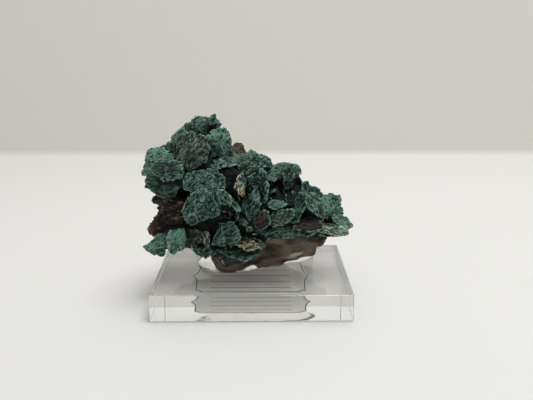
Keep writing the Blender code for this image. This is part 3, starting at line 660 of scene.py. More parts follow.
def rosette(blade, seed):
    """A blade and a stack of leaves behind it that grow smaller towards its root in the rock."""
    axes = blade_axes(blade)
    middle = blade_middle(blade)
    chance = np.random.default_rng(900 + seed)
    sheets = [blade_sheet(blade, axes, middle, BLADE_CELL, seed)]
    root = blade_root(middle)
    leaves = int(np.clip(np.linalg.norm(root - middle) / LEAF_SPACING, 2, MOST_LEAVES))
    for leaf in range(1, leaves + 1):
        spin, lean, nod = chance.normal(0.0, (25.0, 8.0, 8.0))
        share = (leaf + 0.4) / (leaves + 0.9)
        size = 0.72 - 0.42 * share
        smaller = blade._replace(long=blade.long * size, wide=blade.wide * size)
        place = middle + (root - middle) * share - axes[2] * blade.bulge * 0.5
        leaf_axes = turned_axes(axes, spin, lean, nod)
        sheets.append(blade_sheet(smaller, leaf_axes, place, LEAF_CELL, seed + 200 * leaf))
    # Painted shade: blades in the hollows get it in full, and the leaves behind a blade in part.
    shade_painted = blade.name.startswith(SHADE_PAINTED_NAMES)
    for order, (_, _, marks) in enumerate(sheets):
        marks["deep"] += 1.0 if shade_painted else min(order, 1) * LEAF_SHADE_PAINT
    return sheets


def chips():
    """Small broken blades scattered over the crust, standing at random about its outward way."""
    chance = np.random.default_rng(CHIP_SEED)
    sheets = []
    for number in range(CHIPS):
        direction = unit(chance.normal(0.0, 1.0, 3) + (CHIPS_FACE if number % 3 else CHIPS_BACK))
        offset = skin_offset(MALACHITE_SKIN, direction[None, :])[0] - CRUST_SUNK
        if offset < 0.0:
            continue
        reach = rock_radius(direction[None, :])[0] + offset
        middle = ROCK_CENTRE + direction * (reach + chance.uniform(0.2, 1.4))
        face = unit(direction + chance.normal(0.0, 0.9, 3))
        long = chance.uniform(*CHIP_SIZES)
        chip = Placed(
            f"chip_{number}", *middle, long, long * chance.uniform(0.5, 0.9), chance.uniform(-90.0, 90.0),
            math.degrees(math.atan2(face[0], -face[1])), math.degrees(math.asin(face[2])),
            0.2, chance.uniform(-0.9, 0.3), chance.choice([0.0, 0.0, 0.4]), 0.4,
        )
        points, quads, marks = blade_sheet(chip, blade_axes(chip), middle, CHIP_CELL, 3000 + number)
        # Painted shade on the chips that face the front.
        marks["deep"] += CHIPS_SHADE_PAINT if number % 3 else 0.0
        sheets.append((points, quads, marks))
    return sheets


def joined(sheets):
    """Several (points, quads, marks) as one."""
    starts = np.cumsum([0] + [len(points) for points, _, _ in sheets])
    points = np.vstack([sheet[0] for sheet in sheets])
    quads = np.vstack([sheet[1] + start for sheet, start in zip(sheets, starts)])
    marks = {mark: np.concatenate([sheet[2][mark] for sheet in sheets]) for mark in sheets[0][2]}
    return points, quads, marks


def even_polar(rows):
    """Angles from the X axis at which circles round the rock lie about as far apart, in millimetres."""
    polar = np.linspace(0.0, math.pi, 400)
    turn = np.linspace(0.0, 2.0 * math.pi, 24, endpoint=False)
    p, t = np.meshgrid(polar, turn, indexing="ij")
    directions = np.column_stack([
        np.cos(p).ravel(), (np.sin(p) * np.cos(t)).ravel(), (np.sin(p) * np.sin(t)).ravel()
    ])
    points = (directions * rock_radius(directions)[:, None]).reshape(len(polar), len(turn), 3)
    gaps = np.linalg.norm(np.diff(points, axis=0), axis=2).mean(axis=1)
    path = np.concatenate([[0.0], np.cumsum(gaps)])
    return np.interp(np.linspace(0.0, path[-1], rows + 2)[1:-1], path, polar)


def ball_grid(rows, columns):
    """Directions and faces of a ball: circles about the X axis with a point at each end."""
    polar = even_polar(rows)
    turn = np.arange(columns) * 2.0 * math.pi / columns
    p, t = np.meshgrid(polar, turn, indexing="ij")
    ring = np.column_stack([np.cos(p).ravel(), (np.sin(p) * np.cos(t)).ravel(), (np.sin(p) * np.sin(t)).ravel()])
    directions = np.vstack([ring, [[1.0, 0.0, 0.0], [-1.0, 0.0, 0.0]]])
    here = (np.arange(rows - 1)[:, None] * columns + np.arange(columns)[None, :]).ravel()
    ahead = (np.arange(rows - 1)[:, None] * columns + (np.arange(columns) + 1)[None, :] % columns).ravel()
    quads = np.column_stack([here, here + columns, ahead + columns, ahead])
    around = np.arange(columns)
    onward = (around + 1) % columns
    last = (rows - 1) * columns
    first_cap = np.column_stack([around, onward, np.full(columns, rows * columns)])
    last_cap = np.column_stack([last + onward, last + around, np.full(columns, rows * columns + 1)])
    return directions, [quads, np.vstack([first_cap, last_cap])]


def surface_normals(points, faces):
    """Unit normals of a closed surface's points: the sum of the cross products at each face's corners."""
    total = np.zeros_like(points)
    for block in faces:
        for corner in range(block.shape[1]):
            here = block[:, corner]
            onward = points[block[:, (corner + 1) % block.shape[1]]] - points[here]
            back = points[block[:, corner - 1]] - points[here]
            turn = np.cross(onward, back)
            for axis in range(3):
                total[:, axis] += np.bincount(here, turn[:, axis], len(points))
    return total / np.maximum(np.linalg.norm(total, axis=1), 1e-9)[:, None]


def rock_relief(points):
    """Height of the rock's rough surface, and how near each point is to a crest: worn lumps of 3 mm,
    broken edges 4 mm apart, ridges between pits about 1.3 mm apart, and grit of 0.6 mm."""
    lumps = fractal(points / 3.4, 3, 4.0)
    broken = ridged(points / 4.5, 51.0) - 0.5
    pits = ridged(warp(points, 2.0, 0.9, 70.0) / np.array([1.6, 1.3, 1.0]), 44.0)
    grit = fractal(points / 0.6, 3, 12.0)
    return 0.6 * lumps + 0.7 * broken + 0.42 * (pits - 0.6) + 0.34 * grit, 0.5 * pits + 0.5 * smoothstep(-0.5, 0.7, grit)


# Finishes

def colour(hex_colour):
    """An sRGB hex colour as a linear one."""
    shares = [int(hex_colour[i:i + 2], 16) / 255 for i in (1, 3, 5)]
    return [s / 12.92 if s <= 0.04045 else ((s + 0.055) / 1.055) ** 2.4 for s in shares] + [1.0]


def add_node(tree, kind, inputs=None, **settings):
    """Adds a node with its settings. An input is given a value, or a link where it is a socket."""
    node = tree.nodes.new(kind)
    for setting, value in settings.items():
        setattr(node, setting, value)
    for name, value in (inputs or {}).items():
        if isinstance(value, bpy.types.NodeSocket):
            tree.links.new(value, node.inputs[name])
        else:
            node.inputs[name].default_value = value
    return node


def new_material(name):
    """A material with its tree, its Principled shader and object coordinates."""
    material = bpy.data.materials.new(name)
    material.use_nodes = True
    tree = material.node_tree
    place = add_node(tree, "ShaderNodeTexCoord").outputs["Object"]
    return material, tree, tree.nodes["Principled BSDF"], place


def per_mm(size):
    """The scale of a noise whose features are this many millimetres apart."""
    return 1.0 / (size * MM)


def malachite_material():
    """Malachite, grown in place of azurite blades: a matt to silky skin of fibres a few hundredths of a millimetre
    thick, so it has no gloss. Its crests and rims are painted pale bluish green as highlights, its valleys near
    black green as shade, and its hollows are painted nearly black as shade."""
    material, tree, shader, place = new_material("malachite_fibrous")
    marks = {
        mark: add_node(tree, "ShaderNodeAttribute", attribute_name=mark).outputs["Fac"]
        for mark in ("ridge", "rim", "tone", "crust", "open", "deep")
    }
    patches = add_node(tree, "ShaderNodeTexNoise", {"Vector": place, "Scale": per_mm(3.0), "Detail": 3.0})
    strands = add_node(tree, "ShaderNodeAttribute", attribute_name="strands").outputs["Vector"]
    flecks = add_node(
        tree, "ShaderNodeTexNoise", {"Vector": strands, "Scale": 1.9, "Detail": 4.0, "Roughness": 0.7}
    )
    spread = add_node(
        tree, "ShaderNodeMapRange", {"Value": patches.outputs["Fac"], "From Min": 0.38, "From Max": 0.64}
    )
    fleck = add_node(
        tree, "ShaderNodeMapRange", {"Value": flecks.outputs["Fac"], "From Min": 0.45, "From Max": 0.58}
    )
    # Painted shade: the valleys between the crests are near black green.
    painted_valley_shade = add_node(
        tree, "ShaderNodeMix",
        {"Factor": spread.outputs[0], 6: colour("#040A09"), 7: colour("#0B1D18")},
        data_type="RGBA",
    )
    # Painted highlight: the crests are pale green.
    painted_crest_highlight = add_node(
        tree, "ShaderNodeMix",
        {"Factor": spread.outputs[0], 6: colour("#385F52"), 7: colour("#76A091")},
        data_type="RGBA",
    )
    bright_share = add_node(
        tree, "ShaderNodeMapRange", {"Value": marks["tone"], "From Min": 0.0, "From Max": 1.0, "To Max": 0.44}
    )
    # How much painted highlight each place gets: the crest mark, raised on bright blades and broken up by flecks
    # along the strands.
    raised = add_node(
        tree, "ShaderNodeMath",
        {0: bright_share.outputs[0], 1: 0.6, 2: marks["ridge"]},
        operation="MULTIPLY_ADD",
    )
    height = add_node(
        tree, "ShaderNodeMath",
        {0: fleck.outputs[0], 1: 0.6, 2: raised.outputs[0]},
        operation="MULTIPLY_ADD",
    )
    crest = add_node(
        tree, "ShaderNodeMapRange", {"Value": height.outputs[0], "From Min": 0.4, "From Max": 1.2}
    )
    green_with_painted_light = add_node(
        tree, "ShaderNodeMix",
        {"Factor": crest.outputs[0], 6: painted_valley_shade.outputs[2], 7: painted_crest_highlight.outputs[2]},
        data_type="RGBA",
    )
    # Grey blades, with the same painted shade in the valleys and painted highlight on the crests.
    grey = add_node(
        tree, "ShaderNodeMix",
        {"Factor": crest.outputs[0], 6: colour("#121512"), 7: colour("#66736A")},
        data_type="RGBA",
    )
    smoky_share = add_node(
        tree, "ShaderNodeMapRange", {"Value": marks["tone"], "From Min": 0.0, "From Max": -0.8, "To Max": 0.85}
    )
    smoky = add_node(
        tree, "ShaderNodeMix",
        {"Factor": smoky_share.outputs[0], 6: green_with_painted_light.outputs[2], 7: grey.outputs[2]},
        data_type="RGBA",
    )
    # Brown blades, with the same painted shade in the valleys and painted highlight on the crests.
    earth = add_node(
        tree, "ShaderNodeMix",
        {"Factor": crest.outputs[0], 6: colour("#141211"), 7: colour("#4C4742")},
        data_type="RGBA",
    )
    earth_share = add_node(
        tree, "ShaderNodeMapRange", {"Value": marks["tone"], "From Min": -0.8, "From Max": -1.0}
    )
    earthy = add_node(
        tree, "ShaderNodeMix",
        {"Factor": earth_share.outputs[0], 6: smoky.outputs[2], 7: earth.outputs[2]},
        data_type="RGBA",
    )
    # A brighter painted highlight on the crests of the bright green blades.
    painted_highlight_share = add_node(
        tree, "ShaderNodeMath", {0: bright_share.outputs[0], 1: crest.outputs[0]}, operation="MULTIPLY"
    )
    green_painted_highlight = add_node(
        tree, "ShaderNodeMix",
        {"Factor": painted_highlight_share.outputs[0], 6: earthy.outputs[2], 7: colour("#84B6A3")},
        data_type="RGBA",
    )
    # Painted highlight along each rim, broken up by flecks.
    rim = add_node(
        tree, "ShaderNodeMath", {0: marks["rim"], 1: fleck.outputs[0]}, operation="MULTIPLY"
    )
    painted_rim_highlight = add_node(
        tree, "ShaderNodeMix",
        {"Factor": rim.outputs[0], 6: green_painted_highlight.outputs[2], 7: colour("#86B5A3")},
        data_type="RGBA",
    )
    # Painted shade: near black where a place is closed in, and darker still on blades in hollows, leaves behind a
    # blade, most chips and the crust.
    level = add_node(
        tree, "ShaderNodeMath", {0: marks["deep"], 1: -0.8, 2: marks["open"]}, operation="MULTIPLY_ADD"
    )
    opened = add_node(
        tree, "ShaderNodeMapRange", {"Value": level.outputs[0], "From Min": 0.42, "From Max": 0.86}
    )
    painted_shade = add_node(
        tree, "ShaderNodeMix",
        {"Factor": opened.outputs[0], 6: colour("#060E0C"), 7: painted_rim_highlight.outputs[2]},
        data_type="RGBA",
    )
    straw_noise = add_node(
        tree, "ShaderNodeTexNoise", {"Vector": strands, "Scale": 0.55, "Detail": 4.0, "Roughness": 0.6}
    )
    straw_level = add_node(
        tree, "ShaderNodeMath",
        {0: marks["crust"], 1: 0.26, 2: straw_noise.outputs["Fac"]},
        operation="MULTIPLY_ADD",
    )
    straw_broken = add_node(
        tree, "ShaderNodeMath",
        {0: fleck.outputs[0], 1: 0.12, 2: straw_level.outputs[0]},
        operation="MULTIPLY_ADD",
    )
    straw_share = add_node(
        tree, "ShaderNodeMapRange", {"Value": straw_broken.outputs[0], "From Min": 0.78, "From Max": 0.85}
    )
    straw = add_node(
        tree, "ShaderNodeMix",
        {"Factor": fleck.outputs[0], 6: colour("#6F6B46"), 7: colour("#CBC7A4")},
        data_type="RGBA",
    )
    crusted = add_node(
        tree, "ShaderNodeMix",
        {"Factor": straw_share.outputs[0], 6: painted_shade.outputs[2], 7: straw.outputs[2]},
        data_type="RGBA",
    )
    tree.links.new(crusted.outputs[2], shader.inputs["Base Color"])
    shader.inputs["Roughness"].default_value = 0.58
    shader.inputs["IOR"].default_value = 1.65
    shader.inputs["Specular IOR Level"].default_value = 0.15
    bump = add_node(
        tree, "ShaderNodeBump", {"Height": flecks.outputs["Fac"], "Strength": 1.0, "Distance": 0.25 * MM}
    )
    tree.links.new(bump.outputs[0], shader.inputs["Normal"])
    return material


# How the streaks under the gel, partly the wet rock's colour and partly painted gloss, are turned and drawn out.
FLOW_TURN = (0.0, math.radians(28.0), 0.0)
FLOW_STRETCH = (0.35, 1.0, 1.0)


def rock_material():
    """Iron-stained matrix rock, broken and weathered: matt brown with rust-red and ochre patches, with painted
    shade in its pits and where it is closed in, and painted highlights on its crests. Under the gel it is streaked
    dark to golden brown, partly its wet colour and partly painted gloss, with an oval of pale painted highlight."""
    material, tree, shader, place = new_material("iron_stained_rock")
    pit = add_node(tree, "ShaderNodeAttribute", attribute_name="pit").outputs["Fac"]
    wet = add_node(tree, "ShaderNodeAttribute", attribute_name="wet").outputs["Fac"]
    open_mark = add_node(tree, "ShaderNodeAttribute", attribute_name="open").outputs["Fac"]
    rust_mark = add_node(tree, "ShaderNodeAttribute", attribute_name="rust").outputs["Fac"]
    gel_highlight_mark = add_node(tree, "ShaderNodeAttribute", attribute_name="smear").outputs["Fac"]
    patches = add_node(tree, "ShaderNodeTexNoise", {"Vector": place, "Scale": per_mm(4.5), "Detail": 4.0})
    stains = add_node(tree, "ShaderNodeTexNoise", {"Vector": place, "Scale": per_mm(2.2), "Detail": 5.0})
    base = add_node(
        tree, "ShaderNodeMix",
        {"Factor": patches.outputs["Fac"], 6: colour("#0E0C0A"), 7: colour("#42382F")},
        data_type="RGBA",
    )
    rust_level = add_node(
        tree, "ShaderNodeMath", {0: rust_mark, 1: 0.16, 2: stains.outputs["Fac"]}, operation="MULTIPLY_ADD"
    )
    rust_share = add_node(
        tree, "ShaderNodeMapRange", {"Value": rust_level.outputs[0], "From Min": 0.56, "From Max": 0.7}
    )
    rusty = add_node(
        tree, "ShaderNodeMix",
        {"Factor": rust_share.outputs[0], 6: base.outputs[2], 7: colour("#6B4736")},
        data_type="RGBA",
    )
    # Painted shade: near black in the pits away from the crests.
    pit_shade_share = add_node(tree, "ShaderNodeMapRange", {"Value": pit, "From Max": 0.28})
    painted_pit_shade = add_node(
        tree, "ShaderNodeMix",
        {"Factor": pit_shade_share.outputs[0], 6: colour("#0B0908"), 7: rusty.outputs[2]},
        data_type="RGBA",
    )
    # Painted highlight on the crests.
    rock_highlight_share = add_node(tree, "ShaderNodeMapRange", {"Value": pit, "From Min": 0.26, "From Max": 0.6})
    painted_rock_highlight = add_node(
        tree, "ShaderNodeMix",
        {"Factor": rock_highlight_share.outputs[0], 6: painted_pit_shade.outputs[2], 7: colour("#86725D")},
        data_type="RGBA",
    )
    flow = add_node(tree, "ShaderNodeMapping", {"Vector": place, "Rotation": FLOW_TURN, "Scale": FLOW_STRETCH})
    flows = add_node(
        tree, "ShaderNodeTexNoise",
        {"Vector": flow.outputs[0], "Scale": per_mm(2.6), "Detail": 2.0, "Distortion": 0.2},
    )
    # Under the gel: streaks from dark to golden brown, partly the wet rock's colour and partly painted gloss.
    wet_share = add_node(
        tree, "ShaderNodeMapRange", {"Value": flows.outputs["Fac"], "From Min": 0.38, "From Max": 0.66}
    )
    wet_brown_and_gloss = add_node(
        tree, "ShaderNodeMix",
        {"Factor": wet_share.outputs[0], 6: colour("#241F1B"), 7: colour("#978068")},
        data_type="RGBA",
    )
    # A pale painted highlight in an oval, where the gel shines over the rock.
    wet_brown_gloss_highlight = add_node(
        tree, "ShaderNodeMix",
        {"Factor": gel_highlight_mark, 6: wet_brown_and_gloss.outputs[2], 7: colour("#F2E8DA")},
        data_type="RGBA",
    )
    # Painted shade where a place is closed in.
    opened = add_node(tree, "ShaderNodeMapRange", {"Value": open_mark, "From Min": 0.1, "From Max": 0.6})
    painted_shade = add_node(
        tree, "ShaderNodeMix",
        {"Factor": opened.outputs[0], 6: colour("#090807"), 7: painted_rock_highlight.outputs[2]},
        data_type="RGBA",
    )
    wetted = add_node(
        tree, "ShaderNodeMix",
        {"Factor": wet, 6: painted_shade.outputs[2], 7: wet_brown_gloss_highlight.outputs[2]},
        data_type="RGBA",
    )
    tree.links.new(wetted.outputs[2], shader.inputs["Base Color"])
    shader.inputs["Roughness"].default_value = 0.8
    grain = add_node(tree, "ShaderNodeTexNoise", {"Vector": place, "Scale": per_mm(0.3), "Detail": 3.0})
    bump = add_node(
        tree, "ShaderNodeBump", {"Height": grain.outputs["Fac"], "Strength": 0.6, "Distance": 0.08 * MM}
    )
    tree.links.new(bump.outputs[0], shader.inputs["Normal"])
    return material


def clear_material(name, ior, density, tint):
    material, tree, shader, _ = new_material(name)
    shader.inputs["Base Color"].default_value = (1.0, 1.0, 1.0, 1.0)
    shader.inputs["Transmission Weight"].default_value = 1.0
    shader.inputs["Roughness"].default_value = 0.0
    shader.inputs["IOR"].default_value = ior
    absorption = add_node(tree, "ShaderNodeVolumeAbsorption", {"Color": colour(tint), "Density": density})
    tree.links.new(absorption.outputs[0], tree.nodes["Material Output"].inputs["Volume"])
    return material


def acrylic_material():
    """Cast acrylic, sawn and polished: water-clear with a faint warm-grey depth and sharp reflections."""
    return clear_material("cast_acrylic", 1.49, 4.0, "#D8DEDC")


def gel_material():
    """Clear mineral tack, pressed on by hand: a soft gel with a wet gloss and a faint straw tint."""
    return clear_material("clear_mineral_tack", 1.45, 30.0, "#EADFC8")


def label_material():
    """Pale polyester label film with a satin coat: matt and grey from above, and at a low angle through
    the acrylic it mirrors the light behind."""
    material, tree, shader, place = new_material("satin_label_film")
    mottle = add_node(tree, "ShaderNodeTexNoise", {"Vector": place, "Scale": per_mm(2.0), "Detail": 3.0})
    tone = add_node(
        tree, "ShaderNodeMix",
        {"Factor": mottle.outputs["Fac"], 6: colour("#E4E4E0"), 7: colour("#F8F6F0")},
        data_type="RGBA",
    )
    tree.links.new(tone.outputs[2], shader.inputs["Base Color"])
    shader.inputs["Roughness"].default_value = 0.3
    shader.inputs["Specular IOR Level"].default_value = 1.0
    shader.inputs["Coat Weight"].default_value = 1.0
    shader.inputs["Coat Roughness"].default_value = 0.2
    return material


def ink_material():
    """Laser toner: black, fused into the paper with a faint gloss."""
    material, tree, shader, place = new_material("black_toner")
    wear = add_node(tree, "ShaderNodeTexNoise", {"Vector": place, "Scale": per_mm(0.5), "Detail": 2.0})
    tone = add_node(
        tree, "ShaderNodeMix",
        {"Factor": wear.outputs["Fac"], 6: colour("#16171A"), 7: colour("#3A3B40")},
        data_type="RGBA",
    )
    tree.links.new(tone.outputs[2], shader.inputs["Base Color"])
    shader.inputs["Roughness"].default_value = 0.5
    return material


# Pieces

def malachite_pieces(material):
    """The blades in six groups, and the crust that they grow from. Gives the grid of what is filled."""
    blades = list(FRONT_BLADES) + patch_blades() + list(INNER_BLADES)
    groups = {"left": [], "centre": [], "inner": [], "right": [], "back": []}
    for seed, blade in enumerate(blades):
        x, y, _ = blade_middle(blade)
        if isinstance(blade, Placed):
            group = "back"
        elif x < -14.0:
            group = "left"
        elif x < -4.0:
            group = "centre"
        elif x < 6.0:
            group = "inner"
        else:
            group = "right"
        groups[group] += rosette(blade, seed)
    groups["chips"] = chips()
    parts = {}
    for group, sheets in groups.items():
        points, quads, marks = joined(sheets)
        parts[f"malachite_blades_{group}"] = (points, [quads], marks)
    parts["malachite_crust"] = malachite_crust()
    grid = filled_grid([part[0] for part in parts.values()])
    for name, (points, faces, marks) in parts.items():
        # The openness sets how much painted shade each place gets.
        marks["open"] = openness(points, grid)
        add_piece(name, points, faces, material, "malachite", marks)
    return grid


def malachite_crust():
    """The crust between the blades: the rock's surface plus the skin, lumpy like small grapes."""
    directions, faces = ball_grid(160, 320)
    radius = rock_radius(directions) + skin_offset(MALACHITE_SKIN, directions) - CRUST_SUNK
    points = ROCK_CENTRE + directions * radius[:, None]
    lumps = fractal(points / 1.6, 3, 7.0)
    crests = ridged(warp(points, 1.8, 0.7, 90.0) / 0.8, 15.0)
    points = points + directions * (0.45 * lumps + 0.35 * (crests - 0.5))[:, None]
    # Its crests get half a painted highlight, and all of it some painted shade; it has no rims.
    marks = {
        "ridge": crests * 0.5,
        "rim": np.zeros(len(points)),
        "strands": warp(points, 1.8, 0.7, 90.0) / np.array([1.2, 0.6, 0.6]),
        "tone": np.full(len(points), -0.35),
        "crust": np.full(len(points), 0.15),
        "deep": np.full(len(points), 0.45),
    }
    return points, faces, marks


def gel_field(points):
    """How deep a point lies in the gel, in millimetres: mounds on the block and a coat under the rock,
    blended where they meet."""
    parts = []
    for mound in GEL_MOUNDS:
        halves = np.array([mound.half_wide, mound.half_deep, mound.height])
        reach = np.linalg.norm((points - np.array([mound.x, mound.y, BLOCK_TOP])) / halves, axis=1)
        parts.append((1.0 - reach) * halves.min())
    toward = points - ROCK_CENTRE
    distance = np.linalg.norm(toward, axis=1)
    directions = toward / distance[:, None]
    parts.append(rock_radius(directions) + skin_offset(GEL_SKIN, directions) - distance)
    blend = 2.0
    depth = np.log(np.exp(blend * np.array(parts)).sum(axis=0)) / blend
    return np.minimum(depth, points[:, 2] - BLOCK_TOP + GEL_SUNK)


GEL_MIDDLE = np.array([2.0, 6.5, 8.6])
GEL_REACH = 26.0
GEL_SUNK = 0.05


def gel_piece(material):
    """The gel as one surface about a middle point: along each direction it ends where its depth is nought."""
    directions, faces = ball_grid(110, 240)
    steps = np.linspace(0.2, GEL_REACH, 80)
    near = np.full(len(directions), steps[0])
    alive = np.ones(len(directions), dtype=bool)
    for step in steps:
        inside = gel_field(GEL_MIDDLE + directions * step) > 0.0
        alive &= inside
        near[alive] = step
    far = near + steps[1] - steps[0]
    for _ in range(14):
        half = (near + far) / 2.0
        inside = gel_field(GEL_MIDDLE + directions * half[:, None]) > 0.0
        near = np.where(inside, half, near)
        far = np.where(inside, far, half)
    points = GEL_MIDDLE + directions * near[:, None]
    add_piece("gel_adhesive_blobs", points, faces, material, "gel_adhesive")


def rock_piece(material, grid):
    """The matrix rock: its solid's surface with worn lumps, pits and grit, and flat where it is pressed
    against the block."""
    directions, faces = ball_grid(150, 330)
    points = ROCK_CENTRE + directions * rock_radius(directions)[:, None]
    relief, pits = rock_relief(points)
    wet = smoothstep(-0.6, 0.4, gel_field(points))
    relief *= 1.0 - WET_SMOOTH * wet
    points = points + surface_normals(points, faces) * relief[:, None]
    points[:, 2] = np.maximum(points[:, 2], BLOCK_TOP + ROCK_CLEAR)
    rust = sum(np.exp(-(np.linalg.norm(points - np.array(spot), axis=1) / RUST_REACH) ** 2) for spot in RUST_SPOTS)
    marks = {
        # The crest mark paints the rock's pits as shade and its crests as highlights, the oval mark paints a
        # highlight under the gel, and the openness paints shade.
        "pit": np.clip(pits, 0.0, 1.0) ** 2 * 0.7,
        "wet": wet,
        "rust": rust,
        "smear": smear(points),
        "open": openness(points, grid),
    }
    add_piece("matrix_rock_surface", points, faces, material, "matrix_rock", marks)


def smear(points):
    """From 0 to 1, how near each point is to the pale painted highlight under the gel, a long wavy oval as seen
    from the front.
    """
    off = warp(points, 2.2, 0.5, 63.0)[:, [0, 2]] - GEL_HIGHLIGHT_MIDDLE
    along = off[:, 0] * math.cos(GEL_HIGHLIGHT_SLOPE) + off[:, 1] * math.sin(GEL_HIGHLIGHT_SLOPE)
    across = off[:, 1] * math.cos(GEL_HIGHLIGHT_SLOPE) - off[:, 0] * math.sin(GEL_HIGHLIGHT_SLOPE)
    reach = np.hypot(along / GEL_HIGHLIGHT_HALF[0], across / GEL_HIGHLIGHT_HALF[1])
    return (1.0 - smoothstep(0.8, 1.3, reach)) * (points[:, 1] < ROCK_CENTRE[1])


# The label's border in plan, in millimetres: a brace on each side, whose tip points outward.
BORDER_MIDDLE = (-0.4, -0.5)
BORDER_SIDE = 13.9
BORDER_TIP = 15.5
BRACE_REACH = 2.2
BORDER_HALF_DEPTH = 10.5
BORDER_CORNER = 1.3
BORDER_LINE = 0.26
LABEL_MARGIN = 0.4
LABEL_TOP = 0.27
BLOCK_ROUND = 0.12
RULES = (-8.4, -4.4, -0.4, 3.6)
RULE_HALF_LENGTH = 10.5
RULE_WIDTH = 0.22


def border_outline():
    """The border's line, counterclockwise from the front: straight front and back, scooped corners and
    sides that swing out to a tip like a brace."""
    corner = np.linspace(0.0, math.pi / 2, 9)
    scoop_x = BORDER_SIDE - BORDER_CORNER * np.cos(corner)
    scoop_y = BORDER_CORNER * np.sin(corner) - BORDER_HALF_DEPTH
    side_y = np.linspace(BORDER_CORNER - BORDER_HALF_DEPTH, BORDER_HALF_DEPTH - BORDER_CORNER, 61)[1:-1]
    swing = np.exp(-np.abs(side_y) / BRACE_REACH)
    side_x = BORDER_SIDE + (BORDER_TIP - BORDER_SIDE) * swing
    right = np.vstack([
        np.column_stack([scoop_x, scoop_y]),
        np.column_stack([side_x, side_y]),
        np.column_stack([scoop_x[::-1], -scoop_y[::-1]]),
    ])
    left = right[::-1] * np.array([-1.0, 1.0])
    return np.vstack([right, left]) + np.array(BORDER_MIDDLE)


def outward(outline):
    """Unit normals of a closed counterclockwise outline, each from its two neighbours."""
    along = np.roll(outline, -1, axis=0) - np.roll(outline, 1, axis=0)
    along = along / np.linalg.norm(along, axis=1)[:, None]
    return np.column_stack([along[:, 1], -along[:, 0]])


def prism(outline, low, high):
    """A flat plate: the outline at two heights, walls between them, and fans to the two middles."""
    count = len(outline)
    points = np.vstack([
        np.column_stack([outline, np.full(count, low)]),
        np.column_stack([outline, np.full(count, high)]),
        [[*outline.mean(axis=0), low], [*outline.mean(axis=0), high]],
    ])
    here = np.arange(count)
    onward = (here + 1) % count
    walls = np.column_stack([here, onward, onward + count, here + count])
    top = np.column_stack([here + count, onward + count, np.full(count, 2 * count + 1)])
    bottom = np.column_stack([onward, here, np.full(count, 2 * count)])
    return points, [walls, np.vstack([top, bottom])]


def band(inner, outer, low, high):
    """A closed ring with four-cornered section between two outlines of as many points."""
    count = len(inner)
    loops = [(outer, low), (outer, high), (inner, high), (inner, low)]
    points = np.vstack([np.column_stack([line, np.full(count, level)]) for line, level in loops])
    here = np.arange(count)
    onward = (here + 1) % count
    quads = []
    for k in range(4):
        first = k * count
        second = (k + 1) % 4 * count
        quads.append(np.column_stack([here + first, onward + first, onward + second, here + second]))
    return points, [np.vstack(quads)]


def block_piece(material):
    """The block with its polished edges: a rectangle with small round corners at four heights, a little
    smaller at the lowest and the highest."""
    half_long, half_deep = np.array(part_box("display_block")[1][:2]) / MM
    turn = np.linspace(0.0, math.pi / 2, 4)
    corners = []
    for quarter, (x, y) in enumerate(((1, -1), (1, 1), (-1, 1), (-1, -1))):
        middle = np.array([x * (half_long - BLOCK_ROUND), y * (half_deep - BLOCK_ROUND)])
        angles = turn + (quarter - 1) * math.pi / 2
        corners.append(middle + BLOCK_ROUND * np.column_stack([np.cos(angles), np.sin(angles)]))
    outline = np.vstack(corners)
    inner = outline - BLOCK_ROUND * np.sign(outline)
    count = len(outline)
    levels = (
        (inner, BLOCK_BOTTOM), (outline, BLOCK_BOTTOM + BLOCK_ROUND),
        (outline, BLOCK_TOP - BLOCK_ROUND), (inner, BLOCK_TOP),
    )
    points = np.vstack([np.column_stack([line, np.full(count, height)]) for line, height in levels])
    points = np.vstack([points, [[0.0, 0.0, BLOCK_BOTTOM], [0.0, 0.0, BLOCK_TOP]]])
    here = np.arange(count)
    onward = (here + 1) % count
    walls = [np.column_stack([here, onward, onward + count, here + count]) + k * count for k in range(3)]
    bottom = np.column_stack([onward, here, np.full(count, 4 * count)])
    top = np.column_stack([here + 3 * count, onward + 3 * count, np.full(count, 4 * count + 1)])
    faces = [np.vstack(walls), np.vstack([bottom, top])]
    add_piece("display_block_polished", points, faces, material, "display_block", smooth=False)


def label_pieces(paper, ink):
    """The label, its printed border and four blank ruled lines."""
    outline = border_outline()
    points, faces = prism(outline + outward(outline) * LABEL_MARGIN, 0.0, LABEL_TOP)
    add_piece("label_sheet", points, faces, paper, "label", smooth=False)
    low = LABEL_TOP - 0.05
    high = LABEL_TOP + 0.012
    points, faces = band(outline, outline + outward(outline) * BORDER_LINE, low, high)
    add_piece("label_border", points, faces, ink, "label", smooth=False)
    lines = []
    for rule in RULES:
        half = np.array([[-RULE_HALF_LENGTH, -RULE_WIDTH / 2], [RULE_HALF_LENGTH, -RULE_WIDTH / 2]])
        strip = np.vstack([half, -half]) + np.array([BORDER_MIDDLE[0], rule])
        lines.append(prism(strip, low, high))
    starts = np.cumsum([0] + [len(line[0]) for line in lines])
    points = np.vstack([line[0] for line in lines])
    walls = np.vstack([line[1][0] + start for line, start in zip(lines, starts)])
    caps = np.vstack([line[1][1] + start for line, start in zip(lines, starts)])
    add_piece("label_rules", points, [walls, caps], ink, "label", smooth=False)


# The room: a pale table that curves up into a grey backdrop.
FLOOR_END = 188.0
SWEEP_RADIUS = 4.0
FLOOR_REACH = 1500.0


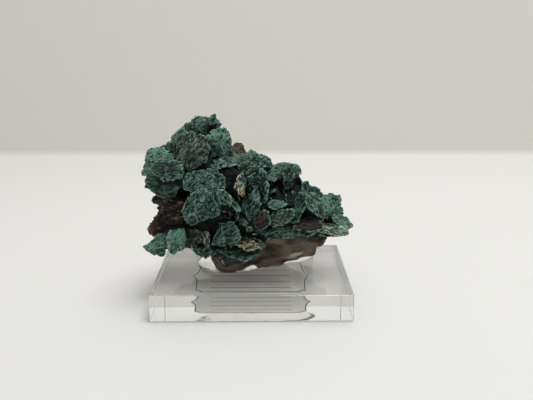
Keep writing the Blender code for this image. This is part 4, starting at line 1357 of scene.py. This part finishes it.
def room():
    """The table's flat, a quarter circle and an upright, carried along X, then a lamp and a soft sky."""
    turn = np.linspace(0.0, math.pi / 2, 25)
    depth = np.concatenate([[-FLOOR_REACH], FLOOR_END + SWEEP_RADIUS * np.sin(turn), [FLOOR_END + SWEEP_RADIUS]])
    height = np.concatenate([[0.0], SWEEP_RADIUS * (1.0 - np.cos(turn)), [FLOOR_REACH]])
    across = np.array([-FLOOR_REACH, FLOOR_REACH])
    points = np.column_stack([
        np.tile(across, len(depth)), np.repeat(depth, 2), np.repeat(height, 2)
    ])
    floor = mesh_object("table", points, [grid_faces(len(depth), 2)])
    material, tree, shader, place = new_material("pale_table")
    split = add_node(tree, "ShaderNodeSeparateXYZ", {0: place})
    up = add_node(
        tree, "ShaderNodeMapRange",
        {"Value": split.outputs["Z"], "From Min": 0.0, "From Max": SWEEP_RADIUS * MM},
        interpolation_type="SMOOTHSTEP",
    )
    tone = add_node(
        tree, "ShaderNodeMix",
        {"Factor": up.outputs[0], 6: colour("#E6E6E4"), 7: colour("#E5E2DD")},
        data_type="RGBA",
    )
    tree.links.new(tone.outputs[2], shader.inputs["Base Color"])
    shader.inputs["Roughness"].default_value = 0.8
    floor.data.materials.append(material)

    world = bpy.data.worlds.new("soft_room")
    world.use_nodes = True
    sky = world.node_tree.nodes["Background"]
    sky.inputs["Color"].default_value = colour("#F4F3F0")
    sky.inputs["Strength"].default_value = SKY_STRENGTH
    bpy.context.scene.world = world

    lamp_data = bpy.data.lights.new("soft_lamp", "AREA")
    lamp_data.shape = "RECTANGLE"
    lamp_data.size = 0.5
    lamp_data.size_y = 0.35
    lamp_data.energy = LAMP_POWER
    lamp = bpy.data.objects.new("soft_lamp", lamp_data)
    lamp.location = Vector(LAMP_PLACE) * MM
    lamp.rotation_mode = "QUATERNION"
    lamp.rotation_quaternion = (Vector((0.0, 0.0, 20.0)) * MM - lamp.location).to_track_quat("-Z", "Y")
    bpy.context.scene.collection.objects.link(lamp)


SKY_STRENGTH = 0.45
LAMP_POWER = 3.25
LAMP_PLACE = (140.0, -90.0, 700.0)


def camera():
    """The photo's camera: its place and pitch solved from the block's corners."""
    data = bpy.data.cameras.new("camera")
    data.sensor_width = SENSOR_WIDTH
    data.lens = FOCAL / FRAME_WIDTH * SENSOR_WIDTH
    data.clip_start = 0.005
    obj = bpy.data.objects.new("camera", data)
    obj.location = Vector(EYE) * MM
    obj.rotation_euler = (math.pi / 2 - math.radians(PITCH_DOWN), 0.0, -math.radians(TURN_RIGHT))
    bpy.context.scene.collection.objects.link(obj)
    bpy.context.scene.camera = obj


malachite = malachite_material()
filled = malachite_pieces(malachite)
rock_piece(rock_material(), filled)
gel_piece(gel_material())
label_pieces(label_material(), ink_material())
block_piece(acrylic_material())
room()
camera()
bpy.context.scene.view_settings.view_transform = "Standard"
